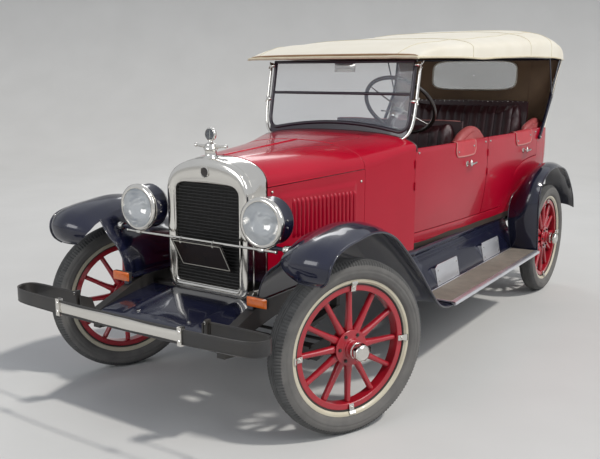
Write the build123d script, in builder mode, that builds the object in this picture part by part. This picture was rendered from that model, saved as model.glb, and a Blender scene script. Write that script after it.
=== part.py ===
"""A 1920s open touring car with its folding top raised, as separate pieces.

Millimetres. +X is the car's left side, +Y runs to the rear and +Z is up. The ground is Z = 0.
Everything is drawn with Y measured from the front axle, and save() carries it to the part's
frame, whose origin is under the middle of the overall length.
"""

import os
from math import atan2, cos, hypot, radians, sin

from build123d import *

os.makedirs("parts", exist_ok=True)

# Overall: the foremost point is on the bumper and the rearmost on the spare wheel
wheelbase = 2845.0
track = 1422.0
tyre_radius = 393.5
bumper_front = -716.0
spare_reach = 507.0
steer_angle = -24.5
king_pin_offset = 60.0
running_gap = 0.05
loose_gap = 0.3

spare_rear = wheelbase + spare_reach
origin_shift = -(bumper_front + spare_rear) / 2
half_track = track / 2
king_pin_x = half_track - king_pin_offset
axle_z = tyre_radius


def save(name, solid):
    """Writes one finished piece as parts/NAME.step, in the part's frame."""
    with BuildPart() as piece:
        add(Pos(0, origin_shift, 0) * solid)
    piece.part.label = name
    export_step(piece.part, f"parts/{name}.step")


def save_pair(name, solid):
    """Writes a left-hand piece and its mirrored right-hand twin."""
    save(f"{name}_left", solid)
    save(f"{name}_right", mirror(solid, about=Plane.YZ))


def flipped(solid):
    """The mirror image on the car's other side, not yet added to anything."""
    return mirror(solid, about=Plane.YZ, mode=Mode.PRIVATE)


def both_sides(solid):
    """One node that carries a left-hand piece and its mirror image."""
    with BuildPart() as pair:
        add(solid)
        add(flipped(solid))
    return pair.part


def across(y):
    """A plane across the car at Y, with local axes X and Z."""
    return Plane(origin=(0, y, 0), x_dir=(1, 0, 0), z_dir=(0, -1, 0))


def polygon_loft(sections, ruled=True):
    """A solid through closed outlines that have equal numbers of points: (plane, points)."""
    with BuildPart() as shape:
        for plane, points in sections:
            with BuildSketch(plane):
                with BuildLine():
                    Polyline(*points, close=True)
                make_face()
        loft(ruled=ruled)
    return shape.part


def thicken(line, thick):
    """The outline of a thin sheet whose one face follows an open line; it lies to the line's right."""
    back = []
    for number, (x, z) in enumerate(line):
        before, after = line[max(0, number - 1)], line[min(len(line) - 1, number + 1)]
        length = hypot(after[0] - before[0], after[1] - before[1])
        run_x, run_z = (after[0] - before[0]) / length, (after[1] - before[1]) / length
        back.append((x + thick * run_z, z - thick * run_x))
    return list(line) + back[::-1]


def plan_block(points, bottom, top):
    """An upright prism over an outline in plan."""
    with BuildPart() as shape:
        with BuildSketch(Plane.XY.offset(bottom)):
            with BuildLine():
                Polyline(*points, close=True)
            make_face()
        extrude(amount=top - bottom)
    return shape.part


def side_block(points, x_from, x_to):
    """A prism across the car over an outline in side view, given as (y, z)."""
    with BuildPart() as shape:
        with BuildSketch(Plane.YZ.offset(x_from)):
            with BuildLine():
                Polyline(*points, close=True)
            make_face()
        extrude(amount=x_to - x_from)
    return shape.part


def rod(start, end, radius):
    """A round bar between two points."""
    run = Vector(*end) - Vector(*start)
    with BuildPart() as shape:
        with BuildSketch(Plane(origin=start, z_dir=run)):
            Circle(radius)
        extrude(amount=run.length)
    return shape.part


def upright(x, y, low, high, radius):
    """A round bar that stands between two heights."""
    return rod((x, y, low), (x, y, high), radius)


def crossbar(x_from, x_to, y, z, radius):
    """A round bar straight across the car."""
    return rod((x_from, y, z), (x_to, y, z), radius)


def box(x, y, z):
    """A block from its limits along each axis, each given as (from, to)."""
    with BuildPart() as shape:
        with Locations(((x[0] + x[1]) / 2, (y[0] + y[1]) / 2, (z[0] + z[1]) / 2)):
            Box(x[1] - x[0], y[1] - y[0], z[1] - z[0])
    return shape.part


# Wheels: tyre, rim, felloe, spokes and hub. Large rings are flat-sided, so that the mesh stays light
ring_sides = 56
tyre_half_width = 54.0
tyre_shoulder = (38.0, tyre_radius - 10)
tyre_crown = (18.0, tyre_radius)
bead_radius = 297.5
rim_flange_radius = 309.0
rim_flange_thick = 4.0
rim_half_width = 39.0
rim_inner_radius = 281.0
felloe_inner_radius = 256.0
felloe_half_width = 26.0
spoke_count = 12
spoke_chamfer = 4.0
clamp_count = 4
clamp_width = 26.0
hub_flange_radius = 80.0
hub_flange_thick = 8.0
hub_barrel_radius = 42.0
hub_inboard = 27.0
hub_neck_radius = 31.0
hub_cap_radius = 38.0
hub_cap_reach = 116.0
spindle_radius = 16.0
spindle_reach = 50.0
drum_radius = 165.0
drum_depth = 60.0
drum_wall = 8.0

# Spoke sections from hub to felloe: distance from the axle, half width round the wheel, half depth
spoke_sections = ((hub_barrel_radius - 2, 10.0, 17.5), (72.0, 18.2, 18.5), (130.0, 14.0, 17.0),
                  (felloe_inner_radius + 6, 12.5, 15.5))


def ring_stack(profile):
    """A flat-sided turned form about local Z through (height, radius) pairs."""
    with BuildPart() as shape:
        for height, radius in profile:
            with BuildSketch(Plane.XY.offset(height)):
                RegularPolygon(radius, ring_sides)
        loft(ruled=True)
    return shape.part


def ring_band(outer, inner, low, high):
    """A flat-sided hoop about local Z."""
    with BuildPart() as shape:
        with BuildSketch(Plane.XY.offset(low)):
            RegularPolygon(outer, ring_sides)
            RegularPolygon(inner, ring_sides, mode=Mode.SUBTRACT)
        extrude(amount=high - low)
    return shape.part


def tyre_shape():
    """A tyre with a flat crown, sloping shoulders and dished beads, with its axle along local Z."""
    bead_half = rim_half_width - rim_flange_thick
    wall_radius = rim_flange_radius + 37
    half = [(tyre_half_width, wall_radius), tyre_shoulder, tyre_crown]
    dish = [(bead_half, rim_flange_radius + 3), (tyre_half_width + 1, wall_radius - 4)]
    with BuildPart() as shape:
        add(ring_stack([(-height, radius) for height, radius in half] + half[::-1]))
        add(ring_stack(dish), mode=Mode.SUBTRACT)
        add(ring_stack([(-height, radius) for height, radius in dish[::-1]]), mode=Mode.SUBTRACT)
        add(ring_stack([(-tyre_half_width, bead_radius), (tyre_half_width, bead_radius)]), mode=Mode.SUBTRACT)
    return shape.part


def rim_shape():
    """The steel rim with its two flanges."""
    edge = rim_half_width - rim_flange_thick
    with BuildPart() as shape:
        add(ring_band(bead_radius, rim_inner_radius, -rim_half_width, rim_half_width))
        add(ring_band(rim_flange_radius, bead_radius - 1, edge, rim_half_width))
        add(ring_band(rim_flange_radius, bead_radius - 1, -rim_half_width, -edge))
    return shape.part


def spoke_shape():
    """One wooden spoke along local X: narrow at the hub, broad at the flange, then tapering."""
    with BuildPart() as spoke:
        for radius, half, deep in spoke_sections:
            with BuildSketch(Plane(origin=(radius, 0, 0), x_dir=(0, 1, 0), z_dir=(1, 0, 0))) as section:
                Rectangle(2 * half, 2 * deep)
                chamfer(section.vertices(), spoke_chamfer)
        loft(ruled=True)
    return spoke.part


def wheel_shape(with_drum):
    """Rim, felloe, wooden spokes, rim clamps, hub and cap, with the axle along local Z."""
    spoke = spoke_shape()
    felloe = ring_band(rim_inner_radius + 1, felloe_inner_radius, -felloe_half_width, felloe_half_width)
    turned = ((-hub_inboard, hub_inboard + 42, hub_barrel_radius),
              (felloe_half_width - hub_flange_thick, hub_flange_thick, hub_flange_radius),
              (-felloe_half_width, hub_flange_thick, hub_flange_radius),
              (42, 32, hub_neck_radius), (hub_cap_reach - 5, 5, hub_cap_radius - 10))
    with BuildPart() as shape:
        add(rim_shape())
        add(felloe)
        add([Rot(0, 0, 360 / spoke_count * number) * spoke for number in range(spoke_count)])
        with PolarLocations((felloe_inner_radius + bead_radius) / 2 - 1, clamp_count):
            with Locations((0, 0, felloe_half_width + 3)):
                Box(bead_radius - felloe_inner_radius - 2, clamp_width, 8)
        for start, length, radius in turned:
            with BuildSketch(Plane.XY.offset(start)):
                Circle(radius)
            extrude(amount=length)
        with BuildSketch(Plane.XY.offset(74)):
            RegularPolygon(hub_cap_radius, 8)
        extrude(amount=hub_cap_reach - 79)
        if with_drum:
            with BuildSketch(Plane.XY.offset(-felloe_half_width - drum_depth)):
                Circle(drum_radius)
                Circle(drum_radius - drum_wall, mode=Mode.SUBTRACT)
            extrude(amount=drum_depth)
            with BuildSketch(Plane.XY.offset(-felloe_half_width - 6)):
                Circle(drum_radius)
            extrude(amount=6)
        with BuildSketch(Plane.XY.offset(-100)):
            Circle(spindle_radius + running_gap)
        extrude(amount=100 + spindle_reach + 4, mode=Mode.SUBTRACT)
    return shape.part


def make_wheels():
    """Four tyres and four wheels, each on its own axle end."""
    tyre = tyre_shape()
    wheels = {"front": wheel_shape(False), "rear": wheel_shape(True)}
    for side_name, side in (("left", 1), ("right", -1)):
        king_pin = Pos(side * king_pin_x, 0, axle_z) * Rot(0, 0, steer_angle)
        ends = {"front": king_pin * Pos(side * king_pin_offset, 0, 0),
                "rear": Pos(side * half_track, wheelbase, axle_z)}
        for end, place in ends.items():
            turned = place * Rot(0, side * 90, 0)
            save(f"tyre_{end}_{side_name}", turned * tyre)
            save(f"wheel_{end}_{side_name}", turned * wheels[end])


# Frame: two channel rails and their cross members, with dumb irons in front
rail_inner = 345.0
rail_outer = 390.0
frame_top = 600.0
frame_bottom = 505.0
rail_wall = 6.0
frame_front = -190.0
frame_rear = wheelbase + 355
horn_front = -494.0
horn_bottom = 448.0
crank_bore_radius = 14.0
crank_z = 452.0
outrigger_places = (980.0, 1600.0, wheelbase - 645)
board_bottom = 379.0
gearbox_rear = 1420.0
cross_member_half = 28.0

# Cross members: place, underside, top
cross_members = ((-215.0, 500.0, 522.0), (-65.0, 505.0, 545.0), (1500.0, 520.0, 590.0),
                 (wheelbase - 665, 520.0, 590.0), (frame_rear - cross_member_half, 520.0, 590.0))


def horn_top(y):
    """Height of the dumb iron's upper edge, which falls from the rail to the front spring eye."""
    return frame_top + (horn_bottom + 44 - frame_top) * (frame_front - y) / (frame_front - horn_front)


def make_frame():
    outline = [(frame_rear, frame_top), (frame_front, frame_top), (horn_front, horn_top(horn_front)),
               (horn_front, horn_bottom), (horn_front + 48, horn_bottom),
               (frame_front + 60, frame_bottom), (frame_rear, frame_bottom)]
    rail = side_block(outline, rail_inner, rail_outer)
    channel = box((rail_inner - 1, rail_outer - rail_wall), (frame_front + 60, frame_rear - 20),
                  (frame_bottom + rail_wall, frame_top - rail_wall))
    with BuildPart() as frame:
        for part, kind in ((rail, Mode.ADD), (channel, Mode.SUBTRACT)):
            add(part, mode=kind)
            add(flipped(part), mode=kind)
        for place, low, high in cross_members:
            along = (place - cross_member_half, place + cross_member_half)
            add(box((1 - rail_outer, rail_outer - 1), along, (low, high)))
        add(box((-35, 35), (-250, -222), (crank_z - 30, 505)))
        add(rod((0, -275, crank_z), (0, -205, crank_z), crank_bore_radius + 12))
        with BuildSketch(across(-300)):
            with Locations((0, crank_z)):
                Circle(crank_bore_radius)
        extrude(amount=-150, mode=Mode.SUBTRACT)
        for place in outrigger_places:
            y = (place - 15, place + 15)
            low = box((rail_outer - 12, edge_x + 10), y, (board_bottom - 18, board_bottom))
            post = box((rail_outer - 12, rail_outer), y, (board_bottom - 18, frame_bottom + 3))
            for piece in (low, post):
                add(piece)
                add(flipped(piece))
    save("chassis_frame", frame.part)


# Axles, springs and steering
pin_radius = 9.0
boss_radius = 18.0
boss_half = 23.5
yoke_gap = 2.0
yoke_thick = 11.0
arm_length = 150.0
arm_bottom = 345.0
ball_radius = 7.0
beam_top = 350.0
rear_tube_radius = 38.0
spring_x = (rail_inner + rail_outer) / 2
spring_width = 45.0
leaf_thick = 8.0
leaf_step = 95.0
leaf_rise = 34.0
banjo = ((-150, 0), (-150, 46), (-90, 108), (-38, 128), (38, 128), (90, 108), (150, 46), (150, 0))


def make_front_axle():
    with BuildPart() as axle:
        for side in (1, -1):
            add(upright(side * king_pin_x, 0, axle_z - boss_half, axle_z + boss_half, boss_radius))
            yoke = ((111, beam_top - 62), (37, axle_z - 22), (11, axle_z - 22), (11, axle_z + 22),
                    (76, axle_z + 5), (151, beam_top), (151, beam_top - 62))
            end = [(side * (king_pin_x - inboard), z) for inboard, z in yoke]
            with BuildSketch(across(-16)):
                with BuildLine():
                    Polyline(*end, close=True)
                make_face()
            extrude(amount=-32)
        reach = (146 - king_pin_x, king_pin_x - 146)
        add(box(reach, (-28, 28), (beam_top - 62, beam_top - 50)))
        add(box(reach, (-28, 28), (beam_top - 12, beam_top)))
        add(box(reach, (-7, 7), (beam_top - 55, beam_top - 5)))
        for side in (1, -1):
            with BuildSketch(Plane.XY.offset(axle_z - 60)):
                with Locations((side * king_pin_x, 0)):
                    Circle(pin_radius + running_gap)
            extrude(amount=120, mode=Mode.SUBTRACT)
    save("front_axle", axle.part)


def make_knuckles():
    """Each knuckle is drawn straight ahead on the king pin, then steered."""
    for name, side in (("left", 1), ("right", -1)):
        with BuildPart() as knuckle:
            across_boss = (-boss_radius, boss_radius)
            yoke_top = boss_half + yoke_gap + yoke_thick
            add(upright(0, 0, -36, 36, pin_radius))
            for low in (boss_half + yoke_gap, -yoke_top):
                add(upright(0, 0, low, low + yoke_thick, boss_radius))
                cheek = (0, 30) if side > 0 else (-30, 0)
                add(box(cheek, across_boss, (low, low + yoke_thick)))
            web = (21, 30) if side > 0 else (-30, -21)
            add(box(web, across_boss, (-yoke_top, yoke_top)))
            add(crossbar(side * 29, side * (king_pin_offset + spindle_reach), 0, 0, spindle_radius))
            arm_z = arm_bottom - axle_z
            add(box((-12, 12), (0, arm_length + 12), (arm_z, arm_z + 12)))
            add(upright(0, arm_length, arm_z - 24, arm_z + 6, ball_radius))
        save(f"knuckle_{name}", Pos(side * king_pin_x, 0, axle_z) * Rot(0, 0, steer_angle) * knuckle.part)


def make_tie_rod():
    """Pinned to the left knuckle's arm; the right-hand eye is the linkage's open pivot."""
    swing = radians(steer_angle)
    eye_x, eye_y = -arm_length * sin(swing), arm_length * cos(swing)
    middle = arm_bottom - 12
    with BuildPart() as link:
        for side in (1, -1):
            add(upright(side * king_pin_x + eye_x, eye_y, middle - 9, middle + 9, 19))
        add(crossbar(eye_x - king_pin_x + 13, eye_x + king_pin_x - 13, eye_y, middle, 8))
        for side, gap in ((1, running_gap), (-1, 0.5)):
            with BuildSketch(Plane.XY.offset(middle - 20)):
                with Locations((side * king_pin_x + eye_x, eye_y)):
                    Circle(ball_radius + gap)
            extrude(amount=40, mode=Mode.SUBTRACT)
    save("tie_rod", link.part)


def make_springs():
    """Half-elliptic springs: the stack of leaves bows down to the axle, hung at both ends."""
    rear_seat_z = axle_z + rear_tube_radius
    sets = ((0, -470, 430, beam_top, horn_bottom, frame_bottom),
            (wheelbase, wheelbase - 515, wheelbase + 335, rear_seat_z, frame_bottom, frame_bottom))
    with BuildPart() as springs:
        for seat, front, rear, low, front_hang, rear_hang in sets:
            base = low + 3 * leaf_thick

            def leaf_z(y):
                end = front if y < seat else rear
                return base + leaf_rise * ((y - seat) / (end - seat)) ** 2

            bow = [(y, leaf_z(y)) for y in (front, (front + seat) / 2, seat, (rear + seat) / 2, rear)]
            profile = [(y, z + leaf_thick) for y, z in bow[::-1]] + bow[:1]
            steps = [(front + leaf_step * leaf, leaf) for leaf in (1, 2, 3)]
            steps += [(rear - leaf_step * leaf, leaf) for leaf in (3, 2, 1)]
            for y, leaf in steps:
                z = leaf_z(y) - leaf_thick * leaf
                edge = [(y, z + leaf_thick), (y, z)]
                profile += edge if y < seat else edge[::-1]
            profile += bow[-1:]
            add(side_block(profile, spring_x - spring_width / 2, spring_x + spring_width / 2))
            for y, hang in ((front, front_hang), (rear, rear_hang)):
                add(box((spring_x - 20, spring_x + 20), (y - 16, y + 16), (base + leaf_rise, hang)))
            add(box((spring_x - 30, spring_x + 30), (seat - 40, seat + 40), (low, low + 12)))
    save("leaf_springs", both_sides(springs.part))


def make_rear_axle():
    reach = half_track - 26 - drum_depth - 6
    with BuildPart() as axle:
        add(crossbar(-reach, reach, wheelbase, axle_z, rear_tube_radius))
        with BuildSketch(Plane(origin=(0, wheelbase, axle_z), x_dir=(1, 0, 0), z_dir=(0, 0, 1))):
            with BuildLine():
                Polyline(*banjo, close=True)
            make_face()
        revolve(axis=Axis((0, wheelbase, axle_z), (1, 0, 0)))
        add(rod((0, gearbox_rear, 430), (0, wheelbase - 60, 430), 34))
        for side in (1, -1):
            end = side * (half_track + spindle_reach)
            add(crossbar(side * (reach - 6), side * reach, wheelbase, axle_z, drum_radius - 14))
            add(crossbar(side * reach, end, wheelbase, axle_z, spindle_radius))
            flat = box((spring_x - 35, spring_x + 35), (wheelbase - 45, wheelbase + 45),
                       (axle_z - 20, axle_z + rear_tube_radius))
            add(flat if side > 0 else flipped(flat))
    save("rear_axle", axle.part)


def make_engine():
    """Engine and gearbox as plain masses at their real places, on arms in the frame channels."""
    with BuildPart() as engine:
        add(box((-115, 115), (60, 590), (620, 960)))
        add(box((-135, 135), (60, 600), (440, 620)))
        add(box((-120, 120), (600, 760), (420, 600)))
        add(box((-95, 95), (760, gearbox_rear), (400, 585)))
        for y in (110, 560):
            add(box((rail_wall - rail_outer, rail_outer - rail_wall), (y - 25, y + 25), (535, 570)))
        add(rod((0, 10, 800), (0, 60, 800), 150))
    save("engine_block", engine.part)


def make_exhaust_and_tank():
    with BuildPart() as pipe:
        add(rod((-180, 570, 462), (-180, 1260, 462), 22))
        add(rod((-200, 1250, 462), (-200, 1800, 462), 54))
        add(rod((-240, 1790, 462), (-240, wheelbase + 125, 462), 20))
        add(box((-220, -135), (540, 600), (430, 500)))
    save("exhaust", pipe.part)
    with BuildPart() as tank:
        straps = (wheelbase + 180, wheelbase + 250)
        add(box((-330, 330), (wheelbase + 145, wheelbase + 285), (380, frame_bottom)))
        add(box((-rail_outer, rail_outer), straps, (frame_bottom - 8, frame_bottom)))
    save("fuel_tank", tank.part)


# Body: plan lines, and the heights where the panels meet
hood_front = 4.0
hood_rear = 628.0
hood_bottom = 612.0
ledge_top = 606.0
sill_z = 636.0
door_bottom = 690.0
belt_z = 1180.0
wall = 42.0
turn_under = 46.0
screen_y = 1026.0
screen_z = 1256.0
front_door = (1008.0, 1918.0)
rear_door = (1918.0, wheelbase - 15)
hinge_gap = 5.0
latch_gap = 6.0
body_rear = wheelbase + 323

# The body's plan at its widest: place along the car, half width
plan_line = ((632.0, 422.0), (1002.0, 520.0), (1500.0, 570.0), (1918.0, 600.0), (wheelbase - 445, 623.0),
             (wheelbase + 34, 640.0), (body_rear - 123, 640.0))
rear_corner = ((body_rear - 63, 622.0), (body_rear - 18, 575.0), (body_rear, 505.0))
door_dip = ((wheelbase - 583, door_bottom), (wheelbase - 445, 900.0), (wheelbase - 285, 975.0),
            (wheelbase - 15, 1000.0))
side_bands = ((sill_z, turn_under), (760.0, 22.0), (900.0, 5.0), (1020.0, 0.0), (belt_z, 2.0))


def hood_half_width(y):
    """Half-width of the hood and cowl at Y: a straight taper from the radiator to the body."""
    return 240 + 0.2637 * (y + 60)


def ring(inset, front):
    """The body's outline in plan from FRONT to the tail, moved inwards by INSET."""
    left = [(x - inset, y) for y, x in plan_line if y >= front]
    left += [(x - inset, y - inset) for y, x in rear_corner]
    return left + [(-x, y) for x, y in reversed(left)]


def band_solid(thick, front):
    """The body's mass between sill and belt, its sides moved inwards by THICK."""
    return polygon_loft([(Plane.XY.offset(z), ring(inset + thick, front)) for z, inset in side_bands])


def arch(half, shoulder, crown, bottom):
    """A cross-section: upright sides with an arched top, as a closed outline of points."""
    points = [(half, bottom), (half, shoulder)]
    for turn in (25, 50, 75, 90, 105, 130, 155):
        reach = cos(radians(turn))
        points.append((half * reach * (1 + 0.12 * sin(radians(2 * turn)) * (1 if turn < 90 else -1)),
                       shoulder + (crown - shoulder) * sin(radians(turn))))
    return points + [(-half, shoulder), (-half, bottom)]


# The cowl: place, half width, shoulder, crown
cowl_stations = ((632.0, 422.0, 1090.0, 1222.0), (820.0, 472.0, 1130.0, 1238.0),
                 (1020.0, 522.0, 1168.0, 1252.0))


def cowl_mass():
    """The cowl as a solid between the hood and the windscreen."""
    return polygon_loft([(across(y), arch(half, shoulder, crown, sill_z))
                         for y, half, shoulder, crown in cowl_stations])


hinge_radius = 6.0
hinge_pin_radius = 3.0
hinge_heights = (965.0, 1085.0)
knuckle_half = 14.0
disc_height = 8.0

# Door hinges: across, along
hinge_places = {"door_front": (522.5, 1010.5), "door_rear": (601.5, 1920.5)}

# Door handles: across, along, up
handle_places = {"door_front": (584, 1674, 1038), "door_rear": (628, wheelbase - 244, 1053)}

# The post that carries the rear doors: across, along
door_post = ((488, 514), (1890, 1946))


def hinge_part(name, grow, fixed):
    """The body's or the door's share of a door's two hinges, larger by GROW where it cuts room for itself."""
    x, y = hinge_places[name]
    with BuildPart() as share:
        for z in hinge_heights:
            if fixed:
                for low in (z - knuckle_half - disc_height, z + knuckle_half):
                    add(upright(x, y, low - grow, low + disc_height + grow, hinge_radius + grow))
            else:
                reach = knuckle_half - loose_gap + 2 * grow
                add(upright(x, y, z - reach, z + reach, hinge_radius + grow))
    return share.part


def hinge_pins(name, radius):
    """The upright pins of a door's two hinges."""
    x, y = hinge_places[name]
    reach = knuckle_half + disc_height
    with BuildPart() as pins:
        for z in hinge_heights:
            add(upright(x, y, z - reach, z + reach, radius))
    return pins.part


def make_body():
    """Tub with four doorways, hollow cowl and firewall; the doors are cut from the same wall."""
    outer = band_solid(0, 1002)
    inner = polygon_loft([(Plane.XY.offset(z + shift), ring(inset + wall, 1002))
                          for (z, inset), shift in zip(side_bands, (-1, 0, 0, 0, 1))])
    with BuildPart() as cowl:
        add(cowl_mass())
        hollow = [(across(y + shift), arch(half - 24, shoulder - 16, crown - 24, sill_z - 1))
                  for (y, half, shoulder, crown), shift in zip(cowl_stations, (14, 0, 1))]
        add(polygon_loft(hollow), mode=Mode.SUBTRACT)
    with BuildPart() as shell:
        add(outer)
        add(inner, mode=Mode.SUBTRACT)
        add(box((-470, 470), (1000, 1002 + wall), (sill_z - 1, belt_z + 1)), mode=Mode.SUBTRACT)
    doors, doorways = {}, {}
    for name, (start, end) in (("door_front", front_door), ("door_rear", rear_door)):
        low = [(start, door_bottom), (end, door_bottom)]
        if name == "door_rear":
            low = [(start, door_bottom)] + list(door_dip)
        doorway = side_block([(start, belt_z + 5)] + low + [(end, belt_z + 5)], 300, 700)
        leaf_low = [(start + hinge_gap, door_bottom + hinge_gap)]
        if name == "door_rear":
            leaf_low += [(y - 8, z + hinge_gap) for y, z in door_dip[:2]]
            leaf_low += [(y, z + hinge_gap) for y, z in door_dip[2:-1]]
        leaf_low += [(end - latch_gap, low[-1][1] + hinge_gap), (end - latch_gap, belt_z - 4)]
        cutter = side_block([(start + hinge_gap, belt_z - 4)] + leaf_low, 300, 700)
        with BuildPart() as leaf:
            add(shell.part)
            add(cutter, mode=Mode.INTERSECT)
            add(hinge_part(name, loose_gap, True), mode=Mode.SUBTRACT)
            add(hinge_part(name, 0, False))
            add(hinge_pins(name, hinge_pin_radius + running_gap), mode=Mode.SUBTRACT)
            x, y, z = handle_places[name]
            add(crossbar(x - 10, x + 40, y - 50, z, 9))
            add(rod((x + 36, y - 58, z), (x + 36, y + 62, z), 8))
        doors[name], doorways[name] = leaf.part, doorway
    with BuildPart() as hood_rod:
        add(hood_axis(0, -20, 700, hood_rod_radius))
        add(box((-20, 20), (loose_gap, 640), (1150, 1260)), mode=Mode.INTERSECT)
    with BuildPart() as tub:
        add(shell.part)
        add(cowl.part)
        for name, doorway in doorways.items():
            steps = ((doorway, Mode.SUBTRACT), (hinge_part(name, loose_gap, False), Mode.SUBTRACT),
                     (hinge_part(name, 0, True), Mode.ADD), (hinge_pins(name, hinge_pin_radius), Mode.ADD))
            for piece, kind in steps:
                add(piece, mode=kind)
                add(flipped(piece), mode=kind)
        fittings = [box(*door_post, (sill_z, 1120)),
                    box((480, 560), door_post[1], (sill_z, door_bottom - 2))]
        for z in hinge_heights:
            for low in (z - knuckle_half - disc_height, z + knuckle_half):
                arm_x = (door_post[0][1] - 2, hinge_places["door_rear"][0] - 3)
                fittings.append(box(arm_x, (1914.5, 1919.5), (low, low + disc_height)))
        for piece in fittings:
            add(piece)
            add(flipped(piece))
        add(box((-515, 515), (1900, 1936), (sill_z, 700)))
        add(hood_rod.part)
    save("body_tub", tub.part)
    for name, leaf in doors.items():
        save_pair(name, leaf)


def make_floor():
    save("floor_boards", plan_block(ring(turn_under, 600), frame_top, sill_z))


# Hood ends: place, half width, shoulder, crown
hood_ends = ((hood_front, 256.0, 1052.0, 1186.0), (hood_rear, 421.0, 1090.0, 1222.0))
hood_rod_radius = 5.0
hood_pin_radius = 4.0


def hood_axis(x, y, length, radius):
    """A bar parallel to the hood's centre line that passes the hood's front end at X."""
    slope = (hood_ends[1][3] - hood_ends[0][3]) / (hood_rear - hood_front)
    front_z = hood_ends[0][3] if x == 0 else hood_ends[0][2] + 3
    start_z, end_z = (front_z + slope * (place - hood_front) for place in (y, y + length))
    return rod((x, y, start_z), (x, y + length, end_z), radius)


def make_hood():
    """Four panels: the tops turn on a centre rod that the cowl carries, the sides hang on pins."""
    tops, sides = [], []
    for y, half, shoulder, crown in hood_ends:
        line = [(half - 1, shoulder + 6)] + arch(half, shoulder, crown, hood_bottom)[2:5] + [(2.5, crown)]
        under = [(x - (0 if x < 3 else 2), z - 4) for x, z in reversed(line)]
        face = [(half, shoulder), (half, hood_bottom), (half - 4, hood_bottom), (half - 4, shoulder)]
        tops.append((across(y), line + under))
        sides.append((across(y), face))
    pin_x = hood_ends[0][1]
    with BuildPart() as top:
        add(polygon_loft(tops))
        add(hood_axis(0, -20, 700, hood_rod_radius + running_gap), mode=Mode.SUBTRACT)
        add(hood_axis(pin_x, -10, 46, hood_pin_radius + running_gap), mode=Mode.SUBTRACT)
    with BuildPart() as panel:
        add(polygon_loft(sides))
        add(hood_axis(pin_x, hood_front + 1, 22, hood_pin_radius))
    save_pair("hood_top", top.part)
    save_pair("hood_side", panel.part)


core_half = 189.0
core_low = 580.0
core_high = 1063.0
fin_count = 30
fin_pitch = 15.6


def make_radiator():
    """Plated shell around the core, with the filler cap, wings and gauge on top."""
    def outline(half, low, high):
        side = [(half, low), (half, high - 146), (half - 12, high - 104), (half - 46, high - 58)]
        side += [(half - 105, high - 26), (half - 175, high - 7), (0, high)]
        return side + [(-x, z) for x, z in reversed(side[:-1])]
    with BuildPart() as shell:
        add(polygon_loft([(across(-130), outline(236, 550, 1182)), (across(-112), outline(243, 545, 1186)),
                          (across(0), outline(254, 545, 1186))]))
        add(box((-core_half, core_half), (-140, 10), (core_low, core_high)), mode=Mode.SUBTRACT)
        add(rod((0, -85, 1175), (0, -85, 1238), 28))
        add(rod((0, -85, 1228), (0, -85, 1262), 12))
        add(box((-90, 90), (-93, -77), (1230, 1240)))
        add(rod((0, -94, 1289), (0, -76, 1289), 30))
        add(rod((0, -135, 1118), (0, -120, 1118), 24))
    save("radiator_shell", shell.part)
    with BuildPart() as core:
        add(box((-core_half, core_half), (-108, -14), (core_low, core_high)))
        with Locations(*((0, -111, core_low + 14 + number * fin_pitch) for number in range(fin_count))):
            Box(2 * core_half, 8, 3)
    save("radiator_core", core.part)


lamp_x = 366.0
lamp_face = -207.0
lamp_z = 930.0
drum_profile = ((95, 0), (114, 3), (114, 20), (106, 25), (104, 100), (82, 134), (0, 156), (0, 150),
                (78, 129), (98, 98), (99, 10), (95, 10))


def make_lamps(fender):
    """Drums on a cross bar, each also on an arm that ends flush on the fender's inner skin."""
    with BuildPart() as bucket:
        with BuildSketch(Plane.XY):
            with BuildLine():
                Polyline(*drum_profile, close=True)
            make_face()
        revolve(axis=Axis.Y)
    with BuildPart() as set_of_lamps:
        for side in (1, -1):
            add(Pos(side * lamp_x, lamp_face, lamp_z) * bucket.part)
            add(box((side * lamp_x - 13, side * lamp_x + 13), (-204, -165), (808, 828)))
            add(upright(side * 408, -185, 812, 862, 13))
            add(crossbar(side * 400, side * 521, -185, 826, 8))
        add(crossbar(-452, 452, -195, 812, 9))
        add(fender, mode=Mode.SUBTRACT)
    save("headlamps", set_of_lamps.part)
    with BuildPart() as glasses:
        for side in (1, -1):
            add(rod((side * lamp_x, lamp_face, lamp_z), (side * lamp_x, lamp_face + 4, lamp_z), 95))
    save("headlamp_glasses", glasses.part)


def shell_section(half, low, shoulder, crown, thick):
    """An arched cross-section of a sheet: its outer outline, then its inner one."""
    outer = arch(half, shoulder, crown, low)
    inner = [(x * (half - thick) / half, z - (thick if z > low + 1 else 0)) for x, z in reversed(outer)]
    return outer + inner


# The raised top: place along the car, half width, hem, shoulder, crown
roof = ((940.0, 550.0, 1656.0, 1694.0, 1749.0), (1559.0, 612.0, 1662.0, 1702.0, 1780.0),
        (wheelbase - 362, 668.0, 1682.0, 1722.0, 1846.0), (wheelbase + 25, 690.0, 1692.0, 1732.0, 1884.0),
        (wheelbase + 265, 690.0, 1698.0, 1738.0, 1862.0), (wheelbase + 351, 686.0, 1694.0, 1726.0, 1800.0))
canvas = 4.0
window = ((-340, 340), (body_rear - 68, body_rear + 82), (1475, 1670))


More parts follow.
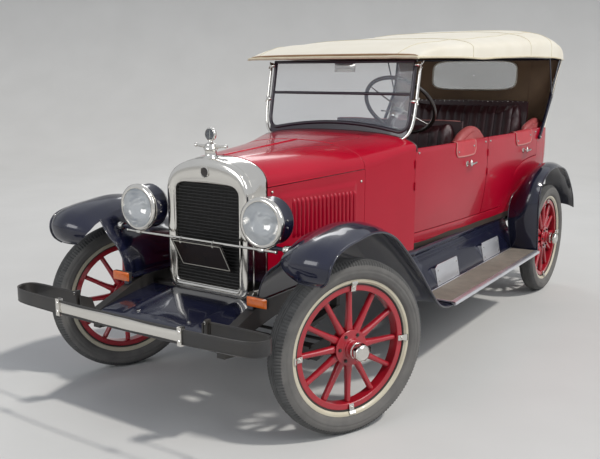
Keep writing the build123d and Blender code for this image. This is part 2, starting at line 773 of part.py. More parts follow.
def make_top():
    """Canvas over the bows with its rear curtain, and the clear window in the curtain."""
    cover = polygon_loft([(across(y), shell_section(half, low, shoulder, crown, canvas))
                          for y, half, low, shoulder, crown in roof])
    y, half, low, shoulder, crown = roof[-1]
    with BuildPart() as end:
        with BuildSketch(across(y - canvas)):
            with BuildLine():
                Polyline(*arch(half, shoulder, crown, low), close=True)
            make_face()
        extrude(amount=-canvas)
    with BuildPart() as curtain:
        for height, reach, place in ((belt_z + loose_gap, 520, body_rear - 10), (low + 4, half - 2, y)):
            with BuildSketch(Plane.XY.offset(height)):
                with Locations((0, place - canvas / 2)):
                    Rectangle(2 * reach, canvas)
        loft(ruled=True)
    with BuildPart() as fabric:
        add(cover)
        add(end.part)
        add(curtain.part)
        add(box(*window), mode=Mode.SUBTRACT)
    save("top_canvas", fabric.part)
    with BuildPart() as pane:
        add(curtain.part)
        add(box(*window), mode=Mode.INTERSECT)
    save("rear_window", pane.part)
    with BuildPart() as bows:
        for number in (1, 2, 3):
            y, half, low, shoulder, crown = roof[number]
            line = shell_section(half - canvas - 3, low + 8, shoulder - canvas - 2, crown - canvas - 3, 20)
            with BuildSketch(across(y - 15)):
                with BuildLine():
                    Polyline(*line, close=True)
                make_face()
            extrude(amount=-30)
        y, half, low, shoulder, crown = roof[0]
        line = shell_section(half - canvas - 3, low + 8, shoulder - canvas - 4, crown - canvas - 6, 24)
        with BuildSketch(across(y + 10)):
            with BuildLine():
                Polyline(*line, close=True)
            make_face()
        extrude(amount=-40)
        pivot = (649, wheelbase + 12, 1130)
        knee = (650, wheelbase + 241, 1436)
        corner = (672, wheelbase + 335, 1700)
        main_bow, front_bow = (640, wheelbase - 362, 1690), (590, 1559, 1672)
        quarter = (660, wheelbase + 119, 1700)
        irons = ((pivot, knee), (knee, corner), (knee, quarter), (quarter, main_bow), (main_bow, front_bow),
                 (front_bow, (530, 965, 1668)))
        for side in (1, -1):
            for start, end in irons:
                add(rod((side * start[0], start[1], start[2]), (side * end[0], end[1], end[2]), 8))
            add(crossbar(side * 638.6, side * pivot[0], pivot[1], pivot[2], 12))
        add(crossbar(-corner[0], corner[0], corner[1], corner[2] + 4, 9))
    save("top_bows", bows.part)


# Fenders: each station is a place on the outer edge (y, z), the way it runs there (y, z), the inner and
# the outer limit across the car, how far the inner edge lies below the outer one, and the share of the
# full crown
edge_x = half_track + 109
fender_crown = 36.0
sheet = 3.0
front_fender = (
    (-338, 740, -0.50, 0.87, 650, 757, 0, 0.1), (-354, 760, -0.35, 0.94, 612, 788, 8, 0.35),
    (-362, 796, -0.10, 1.0, 574, 806, 18, 0.7), (-356, 834, 0.40, 0.92, 558, 813, 32, 1.0),
    (-328, 866, 0.80, 0.60, 556, 818, 36, 1.0), (-270, 888, 0.97, 0.22, 557, edge_x, 33, 1.0),
    (-150, 904, 0.99, 0.10, 558, edge_x, 13, 1.0), (-40, 912, 1.0, -0.02, 562, edge_x, 8, 1.0),
    (70, 898, 0.96, -0.26, 568, edge_x, 10, 1.0), (180, 855, 0.90, -0.44, 576, edge_x, 16, 1.0),
    (281, 785, 0.80, -0.60, 584, edge_x, 24, 1.0), (437, 656, 0.76, -0.65, 596, edge_x, 34, 1.0),
    (540, 561, 0.75, -0.66, 602, edge_x, 36, 0.95), (582, 522, 0.74, -0.67, 604, edge_x, 36, 0.9),
    (705, 420, 0.84, -0.55, 616, edge_x, 20, 0.6), (790, 388, 0.97, -0.22, 632, edge_x, 5, 0.3),
    (858, 379, 1.0, 0.0, 642, edge_x, 0, 0.1))
rear_fender = (
    (-472, 379, -0.14, 0.99, 643.3, edge_x, -18, 0.4), (-499, 594, -0.05, 1.0, 628, edge_x, -40, 0.8),
    (-505, 740, 0.10, 0.99, 612, edge_x, 60, 1.0), (-479, 822, 0.45, 0.89, 618, edge_x, 105, 1.0),
    (-419, 871, 0.80, 0.60, 626, edge_x, 103, 1.0), (-335, 908, 0.95, 0.32, 632, edge_x, 98, 1.0),
    (-247, 928, 0.99, 0.15, 636, edge_x, 90, 1.0), (-106, 933, 1.0, -0.05, 640, edge_x, 60, 1.0),
    (15, 918, 0.98, -0.18, 643, edge_x, 14, 1.0), (115, 892, 0.93, -0.36, 643, edge_x, -30, 1.0),
    (228, 823, 0.78, -0.62, 640, edge_x, -35, 1.0), (325, 740, 0.72, -0.69, 622, edge_x, -30, 1.0),
    (405, 655, 0.66, -0.75, 600, 818, -20, 0.9), (463, 567, 0.40, -0.92, 600, 812, -10, 0.8))
crown_line = ((0.12, 0.35), (0.32, 0.86), (0.55, 1.0), (0.8, 0.62))


def fender_stations(table, axle_y):
    """A thin crowned section at each station, square to the fender's outer edge."""
    sections = []
    for y, z, ty, tz, inner_x, outer, drop, crown in table:
        plane = Plane(origin=(0, y + axle_y, z), x_dir=(1, 0, 0), z_dir=(0, -ty, -tz))
        line = [(inner_x, -drop)]
        for part, rise in crown_line:
            fall = drop * (1 - part) ** 2
            line.append((inner_x + (outer - inner_x) * part, fender_crown * crown * rise - fall))
        line += [(outer, 0), (outer + 2, -12 * crown)]
        sections.append((plane, thicken(line, sheet)))
    return sections


def foot_x(y):
    """Where the inner skin of the front fender stands on the ledge along the frame."""
    return max(rail_outer + 6, hood_half_width(y) + 26)


# The inner skin from its foot to the fender's inner edge: share of the way out, share of the way up
skin_line = ((0.0, 0.0), (0.0, 0.05), (0.09, 0.28), (0.34, 0.54), (0.65, 0.70), (1.0, 1.0))


def inner_skin(table):
    """The sheet between the frame's ledge and the front fender's inner edge."""
    sections = []
    for y, z, ty, tz, inner_x, _, drop, _ in table[5:13]:
        edge_y, edge_z = y + tz * drop, z - ty * drop
        foot = foot_x(edge_y)
        wide, high = inner_x + 4 - foot, edge_z - ledge_top
        line = [(foot + wide * out, ledge_top + high * up) for out, up in skin_line]
        sections.append((across(edge_y), thicken(line, sheet)))
    return polygon_loft(sections)


def make_fenders():
    with BuildPart() as fender:
        add(polygon_loft(fender_stations(front_fender, 0)))
        add(inner_skin(front_fender))
    front = both_sides(fender.part)
    save("front_fenders", front)
    save("rear_fenders", both_sides(polygon_loft(fender_stations(rear_fender, wheelbase))))
    return front


board_top = 395.0
apron_x = 642.0
ledge_front = -262.0


def make_boards():
    """Running boards, the aprons above them, the ledges beside the hood and the pan before the radiator."""
    board = box((apron_x, edge_x + 25), (862, wheelbase - 500), (board_bottom, board_top))
    save("running_boards", both_sides(board))
    stations = ((530, foot_x(530) - 2, 552, 545), (640, foot_x(640) - 4, 590, 470),
                (1000, 524, apron_x, board_bottom), (wheelbase - 405, 540, apron_x, board_bottom))
    sections = []
    for y, top_x, low_x, low_z in stations:
        line = [(top_x, frame_top), (low_x, low_z + 16), (low_x, low_z)]
        sections.append((across(y), thicken(line, sheet)))
    inner = [(hood_half_width(y) - 22, y) for y in (1, 636)]
    outer = [(foot_x(y) + 8, y) for y in (636, 550, ledge_front)]
    with BuildPart() as apron:
        add(polygon_loft(sections))
        add(plan_block(inner + outer + [(rail_inner, ledge_front), (rail_inner, 1)], frame_top, ledge_top))
    pan_line = [(-134, 552), (-300, 528), (-440, 500), (-482, 489), (-490, crank_z + crank_bore_radius + 8)]
    with BuildPart() as sheets:
        add(both_sides(apron.part))
        add(side_block(thicken(pan_line, -sheet), -rail_inner, rail_inner))
    save("splash_aprons", sheets.part)


# Windscreen: the frame leans back, drawn in its own tilted plane
screen_lean = atan2(77.0, 390.0)
screen_half = 472.0
screen_height = 397.5
screen_panes = ((22.0, 198.0), (216.0, screen_height - 22))


def make_windscreen():
    facing = (0, -cos(screen_lean), sin(screen_lean))
    tilt = Plane(origin=(0, screen_y, screen_z), x_dir=(1, 0, 0), z_dir=facing)
    with BuildPart() as frame:
        with BuildSketch(tilt.offset(-9)):
            with Locations((0, screen_height / 2)):
                Rectangle(2 * screen_half, screen_height)
            for low, high in screen_panes:
                with Locations((0, (low + high) / 2)):
                    Rectangle(2 * (screen_half - 20), high - low, mode=Mode.SUBTRACT)
        extrude(amount=18)
        for side in (1, -1):
            with BuildSketch(tilt.offset(-12)):
                with Locations((side * (screen_half + 12), screen_height / 2 - 30)):
                    Rectangle(24, screen_height + 80)
            extrude(amount=24)
            foot = sorted((side * (screen_half - 14), side * (screen_half + 26)))
            add(box(tuple(foot), (955, 1026), (1150, 1212)))
        with BuildSketch(tilt.offset(-4)):
            with Locations((0, -28)):
                Rectangle(2 * screen_half, 60)
        extrude(amount=8)
        add(cowl_mass(), mode=Mode.SUBTRACT)
        add(box((-530, 530), (1005, 1100), (1100, belt_z + 8)), mode=Mode.SUBTRACT)
        add(box((-70, 70), (1128, 1140), (1578, 1636)))
        add(box((-5, 5), (1098, 1130), (1627, 1641)))
    with BuildPart() as glass:
        with BuildSketch(tilt.offset(-3)):
            for low, high in screen_panes:
                with Locations((0, (low + high) / 2)):
                    Rectangle(2 * (screen_half - 20), high - low)
        extrude(amount=6)
    save("windscreen_frame", frame.part)
    save("windscreen_glass", glass.part)


# Steering: the column runs from the firewall to the wheel
column_foot = (240.0, 646.0, 760.0)
wheel_centre = (240.0, 1375.0, 1385.0)
rim_radius = 215.0
rim_section_radius = 12.0


def make_steering():
    axis = (Vector(*wheel_centre) - Vector(*column_foot)).normalized()
    top = Vector(*wheel_centre) - axis * 45
    with BuildPart() as column:
        add(rod(tuple(Vector(*column_foot) - axis * 60), tuple(top), 21))
        add(box((150, 330), (500, 646), (500, 1000)), mode=Mode.SUBTRACT)
    save("steering_column", column.part)
    with BuildPart() as wheel:
        with BuildSketch(Plane(origin=tuple(top + axis * loose_gap), z_dir=axis)):
            Circle(34)
        extrude(amount=50)
        face = Plane(origin=wheel_centre, x_dir=(1, 0, 0), z_dir=axis)
        with BuildSketch(Plane(origin=wheel_centre, x_dir=(1, 0, 0), z_dir=face.y_dir)):
            with Locations((rim_radius, 0)):
                RegularPolygon(rim_section_radius, 8)
        revolve(axis=Axis(wheel_centre, axis))
        for turn in (45, 135, 225, 315):
            out = face.x_dir * cos(radians(turn)) + face.y_dir * sin(radians(turn))
            ends = [tuple(Vector(*wheel_centre) + out * reach) for reach in (20, rim_radius - 6)]
            add(rod(*ends, 7))
    save("steering_wheel", wheel.part)


def make_seats():
    seat_low = sill_z + loose_gap
    front = [(1440, seat_low), (1425, 870), (1432, 945), (1700, 915), (1752, 1240), (1785, 1288),
             (1830, 1284), (1850, 1240), (1800, seat_low)]
    save("front_seat", side_block(front, -466, 466))
    rear = ((-375, seat_low), (-390, 880), (-383, 960), (35, 925), (135, 1330), (175, 1385),
            (221, 1375), (227, 1300), (145, seat_low))
    save("rear_seat", side_block([(wheelbase + y, z) for y, z in rear], -500, 500))


# Bumper, plate, small lamps and the spare wheel
bumper_low = 530.0
bumper_high = 598.0
bumper_sheet = 8.0
strip_half = 360.0
bumper_line = ((0, bumper_front + 4), (strip_half, bumper_front + 10), (610, -690), (672, -672),
               (702, -644), (706, -612), (690, -586), (650, -572), (380, -575))


def make_bumper():
    """A spring-steel band with looped ends, clamped to flat bars that bolt to the dumb irons."""
    band = plan_block(thicken(list(bumper_line), -bumper_sheet), bumper_low, bumper_high)
    bracket = side_block([(-584, 540), (-584, 588), (-520, 560), (horn_front, horn_bottom + 40),
                          (horn_front, horn_bottom + 4), (-530, 490)], rail_inner + 5, rail_outer - 5)
    clamp = box((374, 384), (-592, -566), (525, 603))
    with BuildPart() as half:
        add(band)
        add(bracket)
        add(clamp)
    save("bumper", both_sides(half.part))
    face = [(0, bumper_front), (strip_half, bumper_front + 6), bumper_line[1], bumper_line[0]]
    save("bumper_face", both_sides(plan_block(face, bumper_low + 8, bumper_high - 8)))


indicator_x = (352.0, 460.0)
indicator_y = (-288.0, -266.0)
indicator_low = 583.0
spare_z = 770.0
plate_profile = ((-206.5, 820), (-204.2, 820), (-204.2, 806), (-125, 668), (-127.5, 666.5), (-206.5, 804))


def make_small_parts():
    save("number_plate", side_block(plate_profile, -151, 151))
    with BuildPart() as lamps:
        add(box(indicator_x, indicator_y, (indicator_low, indicator_low + 45)))
        front, rear = indicator_y
        foot = [(front, horn_top(front)), (rear, horn_top(rear)), (rear, indicator_low),
                (front, indicator_low)]
        add(side_block(foot, indicator_x[0], rail_outer - 4))
    save("small_lamps", both_sides(lamps.part))
    spare_y = spare_rear - tyre_half_width
    facing_rear = Pos(0, spare_y, spare_z) * Rot(-90, 0, 0)
    save("spare_tyre", facing_rear * tyre_shape())
    with BuildPart() as carrier:
        add(facing_rear * rim_shape())
        for x in (-150, 150):
            add(box((x - 15, x + 15), (frame_rear, frame_rear + 24), (520, 1000)))
            add(box((x - 15, x + 15), (frame_rear, spare_y - 30), (990, 1012)))
            add(box((x - 15, x + 15), (frame_rear, spare_y - 30), (528, 550)))
    save("spare_carrier", carrier.part)


make_wheels()
make_frame()
make_front_axle()
make_knuckles()
make_tie_rod()
make_springs()
make_rear_axle()
make_engine()
make_exhaust_and_tank()
make_body()
make_floor()
make_hood()
make_radiator()
make_top()
make_lamps(make_fenders())
make_boards()
make_windscreen()
make_steering()
make_seats()
make_bumper()
make_small_parts()
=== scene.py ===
import math

import bmesh
import bpy
import numpy as np
from mathutils import Matrix, Vector


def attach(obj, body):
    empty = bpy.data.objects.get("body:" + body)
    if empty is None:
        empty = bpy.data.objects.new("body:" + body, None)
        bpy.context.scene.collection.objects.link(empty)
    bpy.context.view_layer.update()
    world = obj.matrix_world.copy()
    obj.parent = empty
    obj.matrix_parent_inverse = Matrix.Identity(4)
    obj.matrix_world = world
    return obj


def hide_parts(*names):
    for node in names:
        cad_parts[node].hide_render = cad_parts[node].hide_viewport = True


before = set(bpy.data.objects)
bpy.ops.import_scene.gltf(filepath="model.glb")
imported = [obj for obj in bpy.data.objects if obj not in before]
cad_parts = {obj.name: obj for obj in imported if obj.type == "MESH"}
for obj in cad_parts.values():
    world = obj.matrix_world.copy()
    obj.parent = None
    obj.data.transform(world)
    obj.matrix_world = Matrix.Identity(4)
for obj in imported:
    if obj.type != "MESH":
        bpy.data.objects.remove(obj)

# Sizes are millimetres with Y from the front axle, and metres() turns them into the part's own frame.
# X points to the car's left, Y to its tail and Z up. Tables name their columns in the comment above them.
Y_SHIFT = 1318.0
TRACK, WHEELBASE, AXLE_Z = 1422.0, 2845.0, 393.5
STEER = math.radians(-24.5)
PIN_X, PIN_OFFSET = 651.0, 60.0
X, Y, Z = np.eye(3)
ORIGIN, MIRROR = (0, 0, 0), (-1, 1, 1)
TURN, QUARTER = 2 * math.pi, math.pi / 2
SIDES = (("left", 1), ("right", -1))
BOX_FACES = [(0, 1, 3, 2), (4, 6, 7, 5), (0, 4, 5, 1), (2, 3, 7, 6), (0, 2, 6, 4), (1, 5, 7, 3)]
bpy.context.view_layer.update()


def metres(points):
    return (np.asarray(points, float) - (0.0, Y_SHIFT, 0.0)) / 1000.0


# Materials: every one is built from noise, so that no surface has one flat colour
COAT_ROUGH, RELIEF = 0.04, 0.002


def add_node(tree, kind, **values):
    """A shader node with some of its inputs set: an input's name has _ for each space."""
    node = tree.nodes.new("ShaderNode" + kind)
    for name, value in values.items():
        node.inputs[name.replace("_", " ")].default_value = value
    return node


def material(name, colour, second, rough=0.4, metal=0.0, coat=0.0, scale=6.0, bump=0.0, bump_scale=60.0,
             rough_vary=0.06, stretch=(1, 1, 1), alpha=1.0, sheen=0.0, shine=0.5):
    """A principled surface whose colour, roughness and relief come from noise in object space."""
    made = bpy.data.materials.new(name)
    made.use_nodes = True
    tree = made.node_tree
    tree.nodes.clear()
    link = tree.links.new
    surface = add_node(tree, "BsdfPrincipled", Metallic=metal, Coat_Weight=coat, Coat_Roughness=COAT_ROUGH,
                       Specular_IOR_Level=shine, Alpha=alpha, Sheen_Weight=sheen)
    spread = add_node(tree, "Mapping", Scale=stretch)
    noise = add_node(tree, "TexNoise", Scale=scale, Detail=6.0)
    ramp = add_node(tree, "ValToRGB")
    for stop, place, shade in zip(ramp.color_ramp.elements, (0.25, 0.75), (second, colour)):
        stop.position, stop.color = place, (*shade, 1)
    vary = add_node(tree, "MapRange", To_Min=max(0.02, rough - rough_vary), To_Max=min(1.0, rough + rough_vary))
    link(add_node(tree, "TexCoord").outputs["Object"], spread.inputs["Vector"])
    link(spread.outputs[0], noise.inputs["Vector"])
    link(noise.outputs["Fac"], ramp.inputs["Fac"])
    link(noise.outputs["Fac"], vary.inputs["Value"])
    link(ramp.outputs["Color"], surface.inputs["Base Color"])
    link(vary.outputs[0], surface.inputs["Roughness"])
    link(surface.outputs[0], add_node(tree, "OutputMaterial").inputs[0])
    if bump:
        fine = add_node(tree, "TexNoise", Scale=bump_scale, Detail=4.0)
        relief = add_node(tree, "Bump", Strength=bump, Distance=RELIEF)
        link(spread.outputs[0], fine.inputs["Vector"])
        link(fine.outputs["Fac"], relief.inputs["Height"])
        link(relief.outputs[0], surface.inputs["Normal"])
    return made


RED = material("crimson_paint", (0.46, 0.003, 0.024), (0.39, 0.002, 0.019), rough=0.22, coat=0.4, shine=0.2,
               scale=3, bump=0.02, bump_scale=9)
# Near-black paint, tinted blue as a painted reflection of the sky: partly its own dark colour, partly painted
# reflection.
DARK_PAINT_SKY_REFLECTION = material("dark_paint_sky_reflection", (0.008, 0.010, 0.030), (0.005, 0.006, 0.019), rough=0.2, coat=0.7, shine=0.35,
                scale=4, bump=0.02, bump_scale=12)
BLACK = material("chassis_paint", (0.018, 0.018, 0.02), (0.03, 0.026, 0.022), rough=0.5, coat=0.2, scale=9,
                 bump=0.1)
PURPLE = material("screen_frame_paint", (0.02, 0.006, 0.022), (0.012, 0.005, 0.014), rough=0.3, coat=0.5, scale=8)
NICKEL = material("nickel_plate", (0.72, 0.70, 0.66), (0.66, 0.64, 0.60), rough=0.13, metal=1.0, scale=5,
                  bump=0.015, bump_scale=20)
ALUMINIUM = material("aluminium", (0.82, 0.83, 0.86), (0.70, 0.71, 0.74), rough=0.42, metal=1.0, scale=22,
                     bump=0.15, bump_scale=120, stretch=(1, 0.2, 1))
# Black of the radiator core; the same material is also the dark strip behind each louvre, which is painted shade.
CORE_BLACK_AND_SLOT_SHADE = material("core_paint_and_slot_shade", (0.012, 0.012, 0.012), (0.02, 0.019, 0.018), rough=0.55, scale=20, bump=0.2)
RUBBER = material("tyre_rubber", (0.155, 0.15, 0.142), (0.105, 0.102, 0.098), rough=0.82, scale=14, bump=0.3,
                  bump_scale=160)
# The tread's rubber: the sidewall's rubber painted darker as shade.
TREAD_PAINTED_SHADE = material("tread_rubber_painted_shade", (0.10, 0.10, 0.098), (0.06, 0.06, 0.06), rough=0.85, scale=25, bump=0.3,
                 bump_scale=160)
CREAM = material("cream_rim", (0.62, 0.58, 0.46), (0.50, 0.45, 0.33), rough=0.4, coat=0.3, scale=12)
WHEEL_RED = material("wheel_red", (0.42, 0.008, 0.022), (0.30, 0.006, 0.015), rough=0.3, coat=0.7, scale=10,
                 bump=0.06, bump_scale=40)
LEATHER = material("maroon_leather", (0.045, 0.010, 0.014), (0.028, 0.006, 0.009), rough=0.42, scale=18,
                   bump=0.5, bump_scale=260, coat=0.1)
# The maroon leather painted lighter and rosier, as if in sunlight: painted light.
LEATHER_PAINTED_LIT = material("leather_painted_lit", (0.40, 0.085, 0.085), (0.30, 0.05, 0.052), rough=0.5, scale=18, bump=0.4,
                       bump_scale=260)
# The flaps' red leather painted brighter coral, as if in sunlight: partly its own red, partly painted light.
FLAP_PAINTED_LIT = material("flap_leather_painted_lit", (0.56, 0.055, 0.07), (0.46, 0.04, 0.052), rough=0.45, scale=18, bump=0.3,
                bump_scale=260)
PIPING = material("piping", (0.62, 0.26, 0.24), (0.50, 0.18, 0.17), rough=0.5, scale=60)
CANVAS = material("cream_canvas", (0.86, 0.82, 0.71), (0.79, 0.74, 0.62), rough=0.9, scale=5, bump=0.6,
                  bump_scale=700, sheen=0.2)
LINING = material("tan_lining", (0.26, 0.17, 0.10), (0.20, 0.13, 0.08), rough=0.92, scale=6, bump=0.5,
                  bump_scale=600, sheen=0.2)
WOOD = material("ash_wood", (0.30, 0.17, 0.08), (0.19, 0.10, 0.045), rough=0.5, scale=8, stretch=(1, 8, 8),
                bump=0.2)
# Near-black floor boards: painted shade, so that the gap between the body and the apron reads as a dark shadow line.
FLOOR_PAINTED_SHADE = material("floor_painted_shade", (0.035, 0.020, 0.012), (0.022, 0.012, 0.008), rough=0.6, scale=8,
                 stretch=(8, 1, 8), bump=0.2)
MAT = material("board_mat", (0.20, 0.175, 0.145), (0.135, 0.12, 0.10), rough=0.85, scale=16, bump=0.4,
               bump_scale=300)
AMBER = material("amber_lens", (0.75, 0.16, 0.01), (0.60, 0.10, 0.006), rough=0.2, coat=0.8, scale=40, bump=0.3,
                 bump_scale=200)
DARK_RIM = material("steering_rim", (0.015, 0.012, 0.012), (0.03, 0.02, 0.015), rough=0.25, coat=0.5, scale=30)
IRON = material("dark_iron", (0.06, 0.058, 0.055), (0.035, 0.033, 0.03), rough=0.6, scale=14, metal=0.3, bump=0.2)
GLASS = material("clear_glass", (0.62, 0.70, 0.78), (0.56, 0.64, 0.72), rough=0.03, scale=2, rough_vary=0.01,
                 alpha=0.16, coat=1.0)
LENS = material("lens_glass", (0.80, 0.86, 0.92), (0.74, 0.80, 0.86), rough=0.12, scale=30, alpha=0.45, coat=1.0,
                bump=0.1, bump_scale=90, stretch=(1, 1, 0.1))
MIRROR_GLASS = material("mirror_glass", (0.80, 0.82, 0.84), (0.76, 0.78, 0.80), rough=0.04, metal=1.0, scale=4,
                        rough_vary=0.01)
BINDING = material("canvas_binding", (0.70, 0.64, 0.48), (0.60, 0.53, 0.38), rough=0.85, scale=30, bump=0.4,
                   bump_scale=600)
CELLULOID = material("celluloid", (0.55, 0.60, 0.60), (0.48, 0.52, 0.50), rough=0.12, scale=4, alpha=0.35,
                     coat=0.8)
PALE = material("pale_line", (0.62, 0.60, 0.52), (0.52, 0.50, 0.44), rough=0.5, scale=40)


# Mesh builder
class Mesh:
    """Collects the parts of one piece: points in millimetres, faces, and a material index for each face."""

    def __init__(self):
        self.v, self.f, self.m, self.n = [], [], [], 0

    def add(self, verts, faces, mat=0):
        """MAT is one index for all of the faces, or a list with one for each."""
        verts = np.asarray(verts, float).reshape(-1, 3)
        self.v.append(verts)
        self.f += [tuple(i + self.n for i in face) for face in faces]
        self.m += mat if isinstance(mat, list) else [mat] * len(faces)
        self.n += len(verts)

    def grid(self, points, mat=0, close_u=False, close_v=False, flip=False):
        p = np.asarray(points, float)
        n, m = p.shape[:2]
        faces = []
        for i in range(n if close_u else n - 1):
            for j in range(m if close_v else m - 1):
                a, b = i * m + j, i * m + (j + 1) % m
                c, d = ((i + 1) % n) * m + (j + 1) % m, ((i + 1) % n) * m + j
                faces.append((a, d, c, b) if flip else (a, b, c, d))
        self.add(p, faces, mat)

    def slab(self, outer, inner, mats, close_u=False):
        """A closed slab between two like grids. MATS are for its outer face, its inner face and its rim."""
        n, m = outer.shape[:2]
        last, total = n if close_u else n - 1, n * m

        def at(i, j):
            return (i % n) * m + j

        skin_faces = [(at(i, j), at(i, j + 1), at(i + 1, j + 1), at(i + 1, j))
                      for i in range(last) for j in range(m - 1)]
        rim = [pair for i in range(last) for pair in ((at(i, 0), at(i + 1, 0)), (at(i + 1, m - 1), at(i, m - 1)))]
        if not close_u:
            rim += [pair for j in range(m - 1) for pair in ((j + 1, j), (at(n - 1, j), at(n - 1, j + 1)))]
        faces = [face for s in skin_faces for face in (s, tuple(total + c for c in s[::-1]))]
        self.add(np.concatenate([outer, inner]), faces + [(a, b, total + b, total + a) for a, b in rim],
                 list(mats[:2]) * len(skin_faces) + [mats[2]] * len(rim))

    def sheet(self, points, thick, mat=0, back=None, close_u=False):
        """A closed sheet: the grid is its outer face, and the inner one lies THICK behind it."""
        p = np.asarray(points, float)
        normal = np.cross(np.gradient(p, axis=0), np.gradient(p, axis=1))
        normal /= np.maximum(np.linalg.norm(normal, axis=2, keepdims=True), 1e-9)
        self.slab(p, p - normal * thick, (mat, mat if back is None else back, mat), close_u)

    def tube(self, points, radius, mat=0, sides=10, closed=False, flat=1.0, up=None):
        """A round or flattened bar along a line of points."""
        p = np.asarray(points, float)
        n = len(p)
        rad = np.broadcast_to(np.asarray(radius, float), (n,))
        tangent = np.roll(p, -1, 0) - np.roll(p, 1, 0) if closed else np.gradient(p, axis=0)
        tangent /= np.linalg.norm(tangent, axis=1, keepdims=True)
        ref = np.array(Z if up is None else up)
        if up is None and abs(tangent[0] @ ref) > 0.9:
            ref = X
        rings, base = [], self.n
        side = np.cross(tangent[0], ref)
        ang = np.linspace(0, TURN, sides, endpoint=False)
        for i in range(n):
            side = side - tangent[i] * (side @ tangent[i]) if up is None else np.cross(tangent[i], ref)
            side /= np.linalg.norm(side)
            lift = np.cross(side, tangent[i])
            rings.append(p[i] + rad[i] * (np.outer(np.cos(ang), side) + flat * np.outer(np.sin(ang), lift)))
        self.grid(rings, mat, close_u=closed, close_v=True)
        if not closed:
            self.f += [tuple(range(base, base + sides))[::-1], tuple(range(base + (n - 1) * sides, base + n * sides))]
            self.m += [mat, mat]

    def lathe(self, profile, origin=ORIGIN, axis=X, steps=48, mat=0, start=Z):
        """Turns (radius, distance along the axis) points about an axis."""
        axis = np.asarray(axis, float) / np.linalg.norm(axis)
        ref = np.asarray(start, float)
        if abs(ref @ axis) > 0.9:
            ref = Y
        u = ref - axis * (ref @ axis)
        u /= np.linalg.norm(u)
        ang = np.linspace(0, TURN, steps, endpoint=False)
        ring = np.outer(np.cos(ang), u) + np.outer(np.sin(ang), np.cross(axis, u))
        prof = np.asarray(profile, float)[None, :, :, None]
        self.grid(np.asarray(origin, float) + prof[:, :, 0] * ring[:, None] + prof[:, :, 1] * axis, mat, close_u=True)

    def block(self, x, y, z, mat=0):
        self.add([(a, b, c) for a in x for b in y for c in z], BOX_FACES, mat)

    def prism(self, points, shift, mat=0):
        """A flat outline and its copy moved by SHIFT, closed all round."""
        p = np.asarray(points, float)
        n = len(p)
        faces = [tuple(range(n))[::-1], tuple(range(n, 2 * n))]
        faces += [(i, (i + 1) % n, n + (i + 1) % n, n + i) for i in range(n)]
        self.add(np.concatenate([p, p + shift]), faces, mat)

    def moved(self, place):
        self.v = [place(v) for v in self.v]
        return self

    def both(self):
        """Adds the mirror image across the car."""
        self.add(np.concatenate(self.v) * MIRROR, [f[::-1] for f in self.f], list(self.m))
        return self

    def on_side(self, side):
        """Leaves a left-hand piece as it is where SIDE is 1, and mirrors it where SIDE is -1."""
        if side < 0:
            self.v, self.f = [v * MIRROR for v in self.v], [f[::-1] for f in self.f]
        return self

    def make(self, name, mats, body, slot, replaces=(), angle=35):
        me = bpy.data.meshes.new(name)
        me.from_pydata(metres(np.concatenate(self.v)).tolist(), [], [tuple(int(i) for i in f) for f in self.f])
        me.validate()
        ob = bpy.data.objects.new(name, me)
        bpy.context.scene.collection.objects.link(ob)
        for one in mats:
            me.materials.append(one)
        for poly, index in zip(me.polygons, self.m):
            poly.material_index = index
        bm = bmesh.new()
        bm.from_mesh(me)
        bmesh.ops.recalc_face_normals(bm, faces=bm.faces)
        for f in bm.faces:
            f.smooth = True
        for e in bm.edges:
            if len(e.link_faces) == 2 and e.calc_face_angle(0) > math.radians(angle):
                e.smooth = False
        bm.to_mesh(me)
        bm.free()
        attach(ob, body)
        if replaces:
            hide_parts(*replaces)
        return ob


# Curves
def hermite(u, p1, p2, m1, m2):
    return ((2 * u**3 - 3 * u**2 + 1) * p1 + (u**3 - 2 * u**2 + u) * m1 + (-2 * u**3 + 3 * u**2) * p2
            + (u**3 - u**2) * m2)


def smooth_line(points, count):
    """A curve through points by their own spacing (Catmull-Rom), with COUNT samples."""
    p = np.asarray(points, float)
    d = np.concatenate([[0], np.cumsum(np.linalg.norm(np.diff(p, axis=0), axis=1))])
    ext = np.concatenate([[2 * p[0] - p[1]], p, [2 * p[-1] - p[-2]]])
    out = []
    for s in np.linspace(0, d[-1], count):
        i = min(len(p) - 2, max(0, int(np.searchsorted(d, s, side="right")) - 1))
        h = d[i + 1] - d[i]
        u = (s - d[i]) / h if h else 0
        p0, p1, p2, p3 = ext[i:i + 4]
        h0 = np.linalg.norm(p1 - p0) or 1
        h2 = np.linalg.norm(p3 - p2) or 1
        m1 = ((p2 - p1) / h + (p1 - p0) / h0) / 2 * h
        m2 = ((p3 - p2) / h2 + (p2 - p1) / h) / 2 * h
        out.append(hermite(u, p1, p2, m1, m2))
    return np.array(out)


def curve(xs, ys, at):
    """A smooth one-way curve through (xs, ys), without overshoot."""
    xs, ys, at = np.asarray(xs, float), np.asarray(ys, float), np.asarray(at, float)
    h = np.diff(xs)
    d = np.diff(ys) / h
    m = np.zeros(len(xs))
    m[0], m[-1] = d[0], d[-1]
    for i in range(1, len(xs) - 1):
        m[i] = 0 if d[i - 1] * d[i] <= 0 else 2 * d[i - 1] * d[i] / (d[i - 1] + d[i])
    i = np.clip(np.searchsorted(xs, at, side="right") - 1, 0, len(xs) - 2)
    u = (np.clip(at, xs[0], xs[-1]) - xs[i]) / h[i]
    return hermite(u, ys[i], ys[i + 1], h[i] * m[i], h[i] * m[i + 1])


def along(table, at, column=1):
    """One column of a table, read as a smooth curve over the table's first column."""
    t = np.asarray(table, float)
    return float(curve(t[:, 0], t[:, column], [at])[0])


def straight(table, at):
    """The second column of a table, read as straight lines over its first."""
    return float(np.interp(at, *zip(*table)))


def radial(angle):
    """The outward and the forward way at an angle round a wheel."""
    return np.array((0, math.sin(angle), math.cos(angle))), np.array((0, math.cos(angle), -math.sin(angle)))


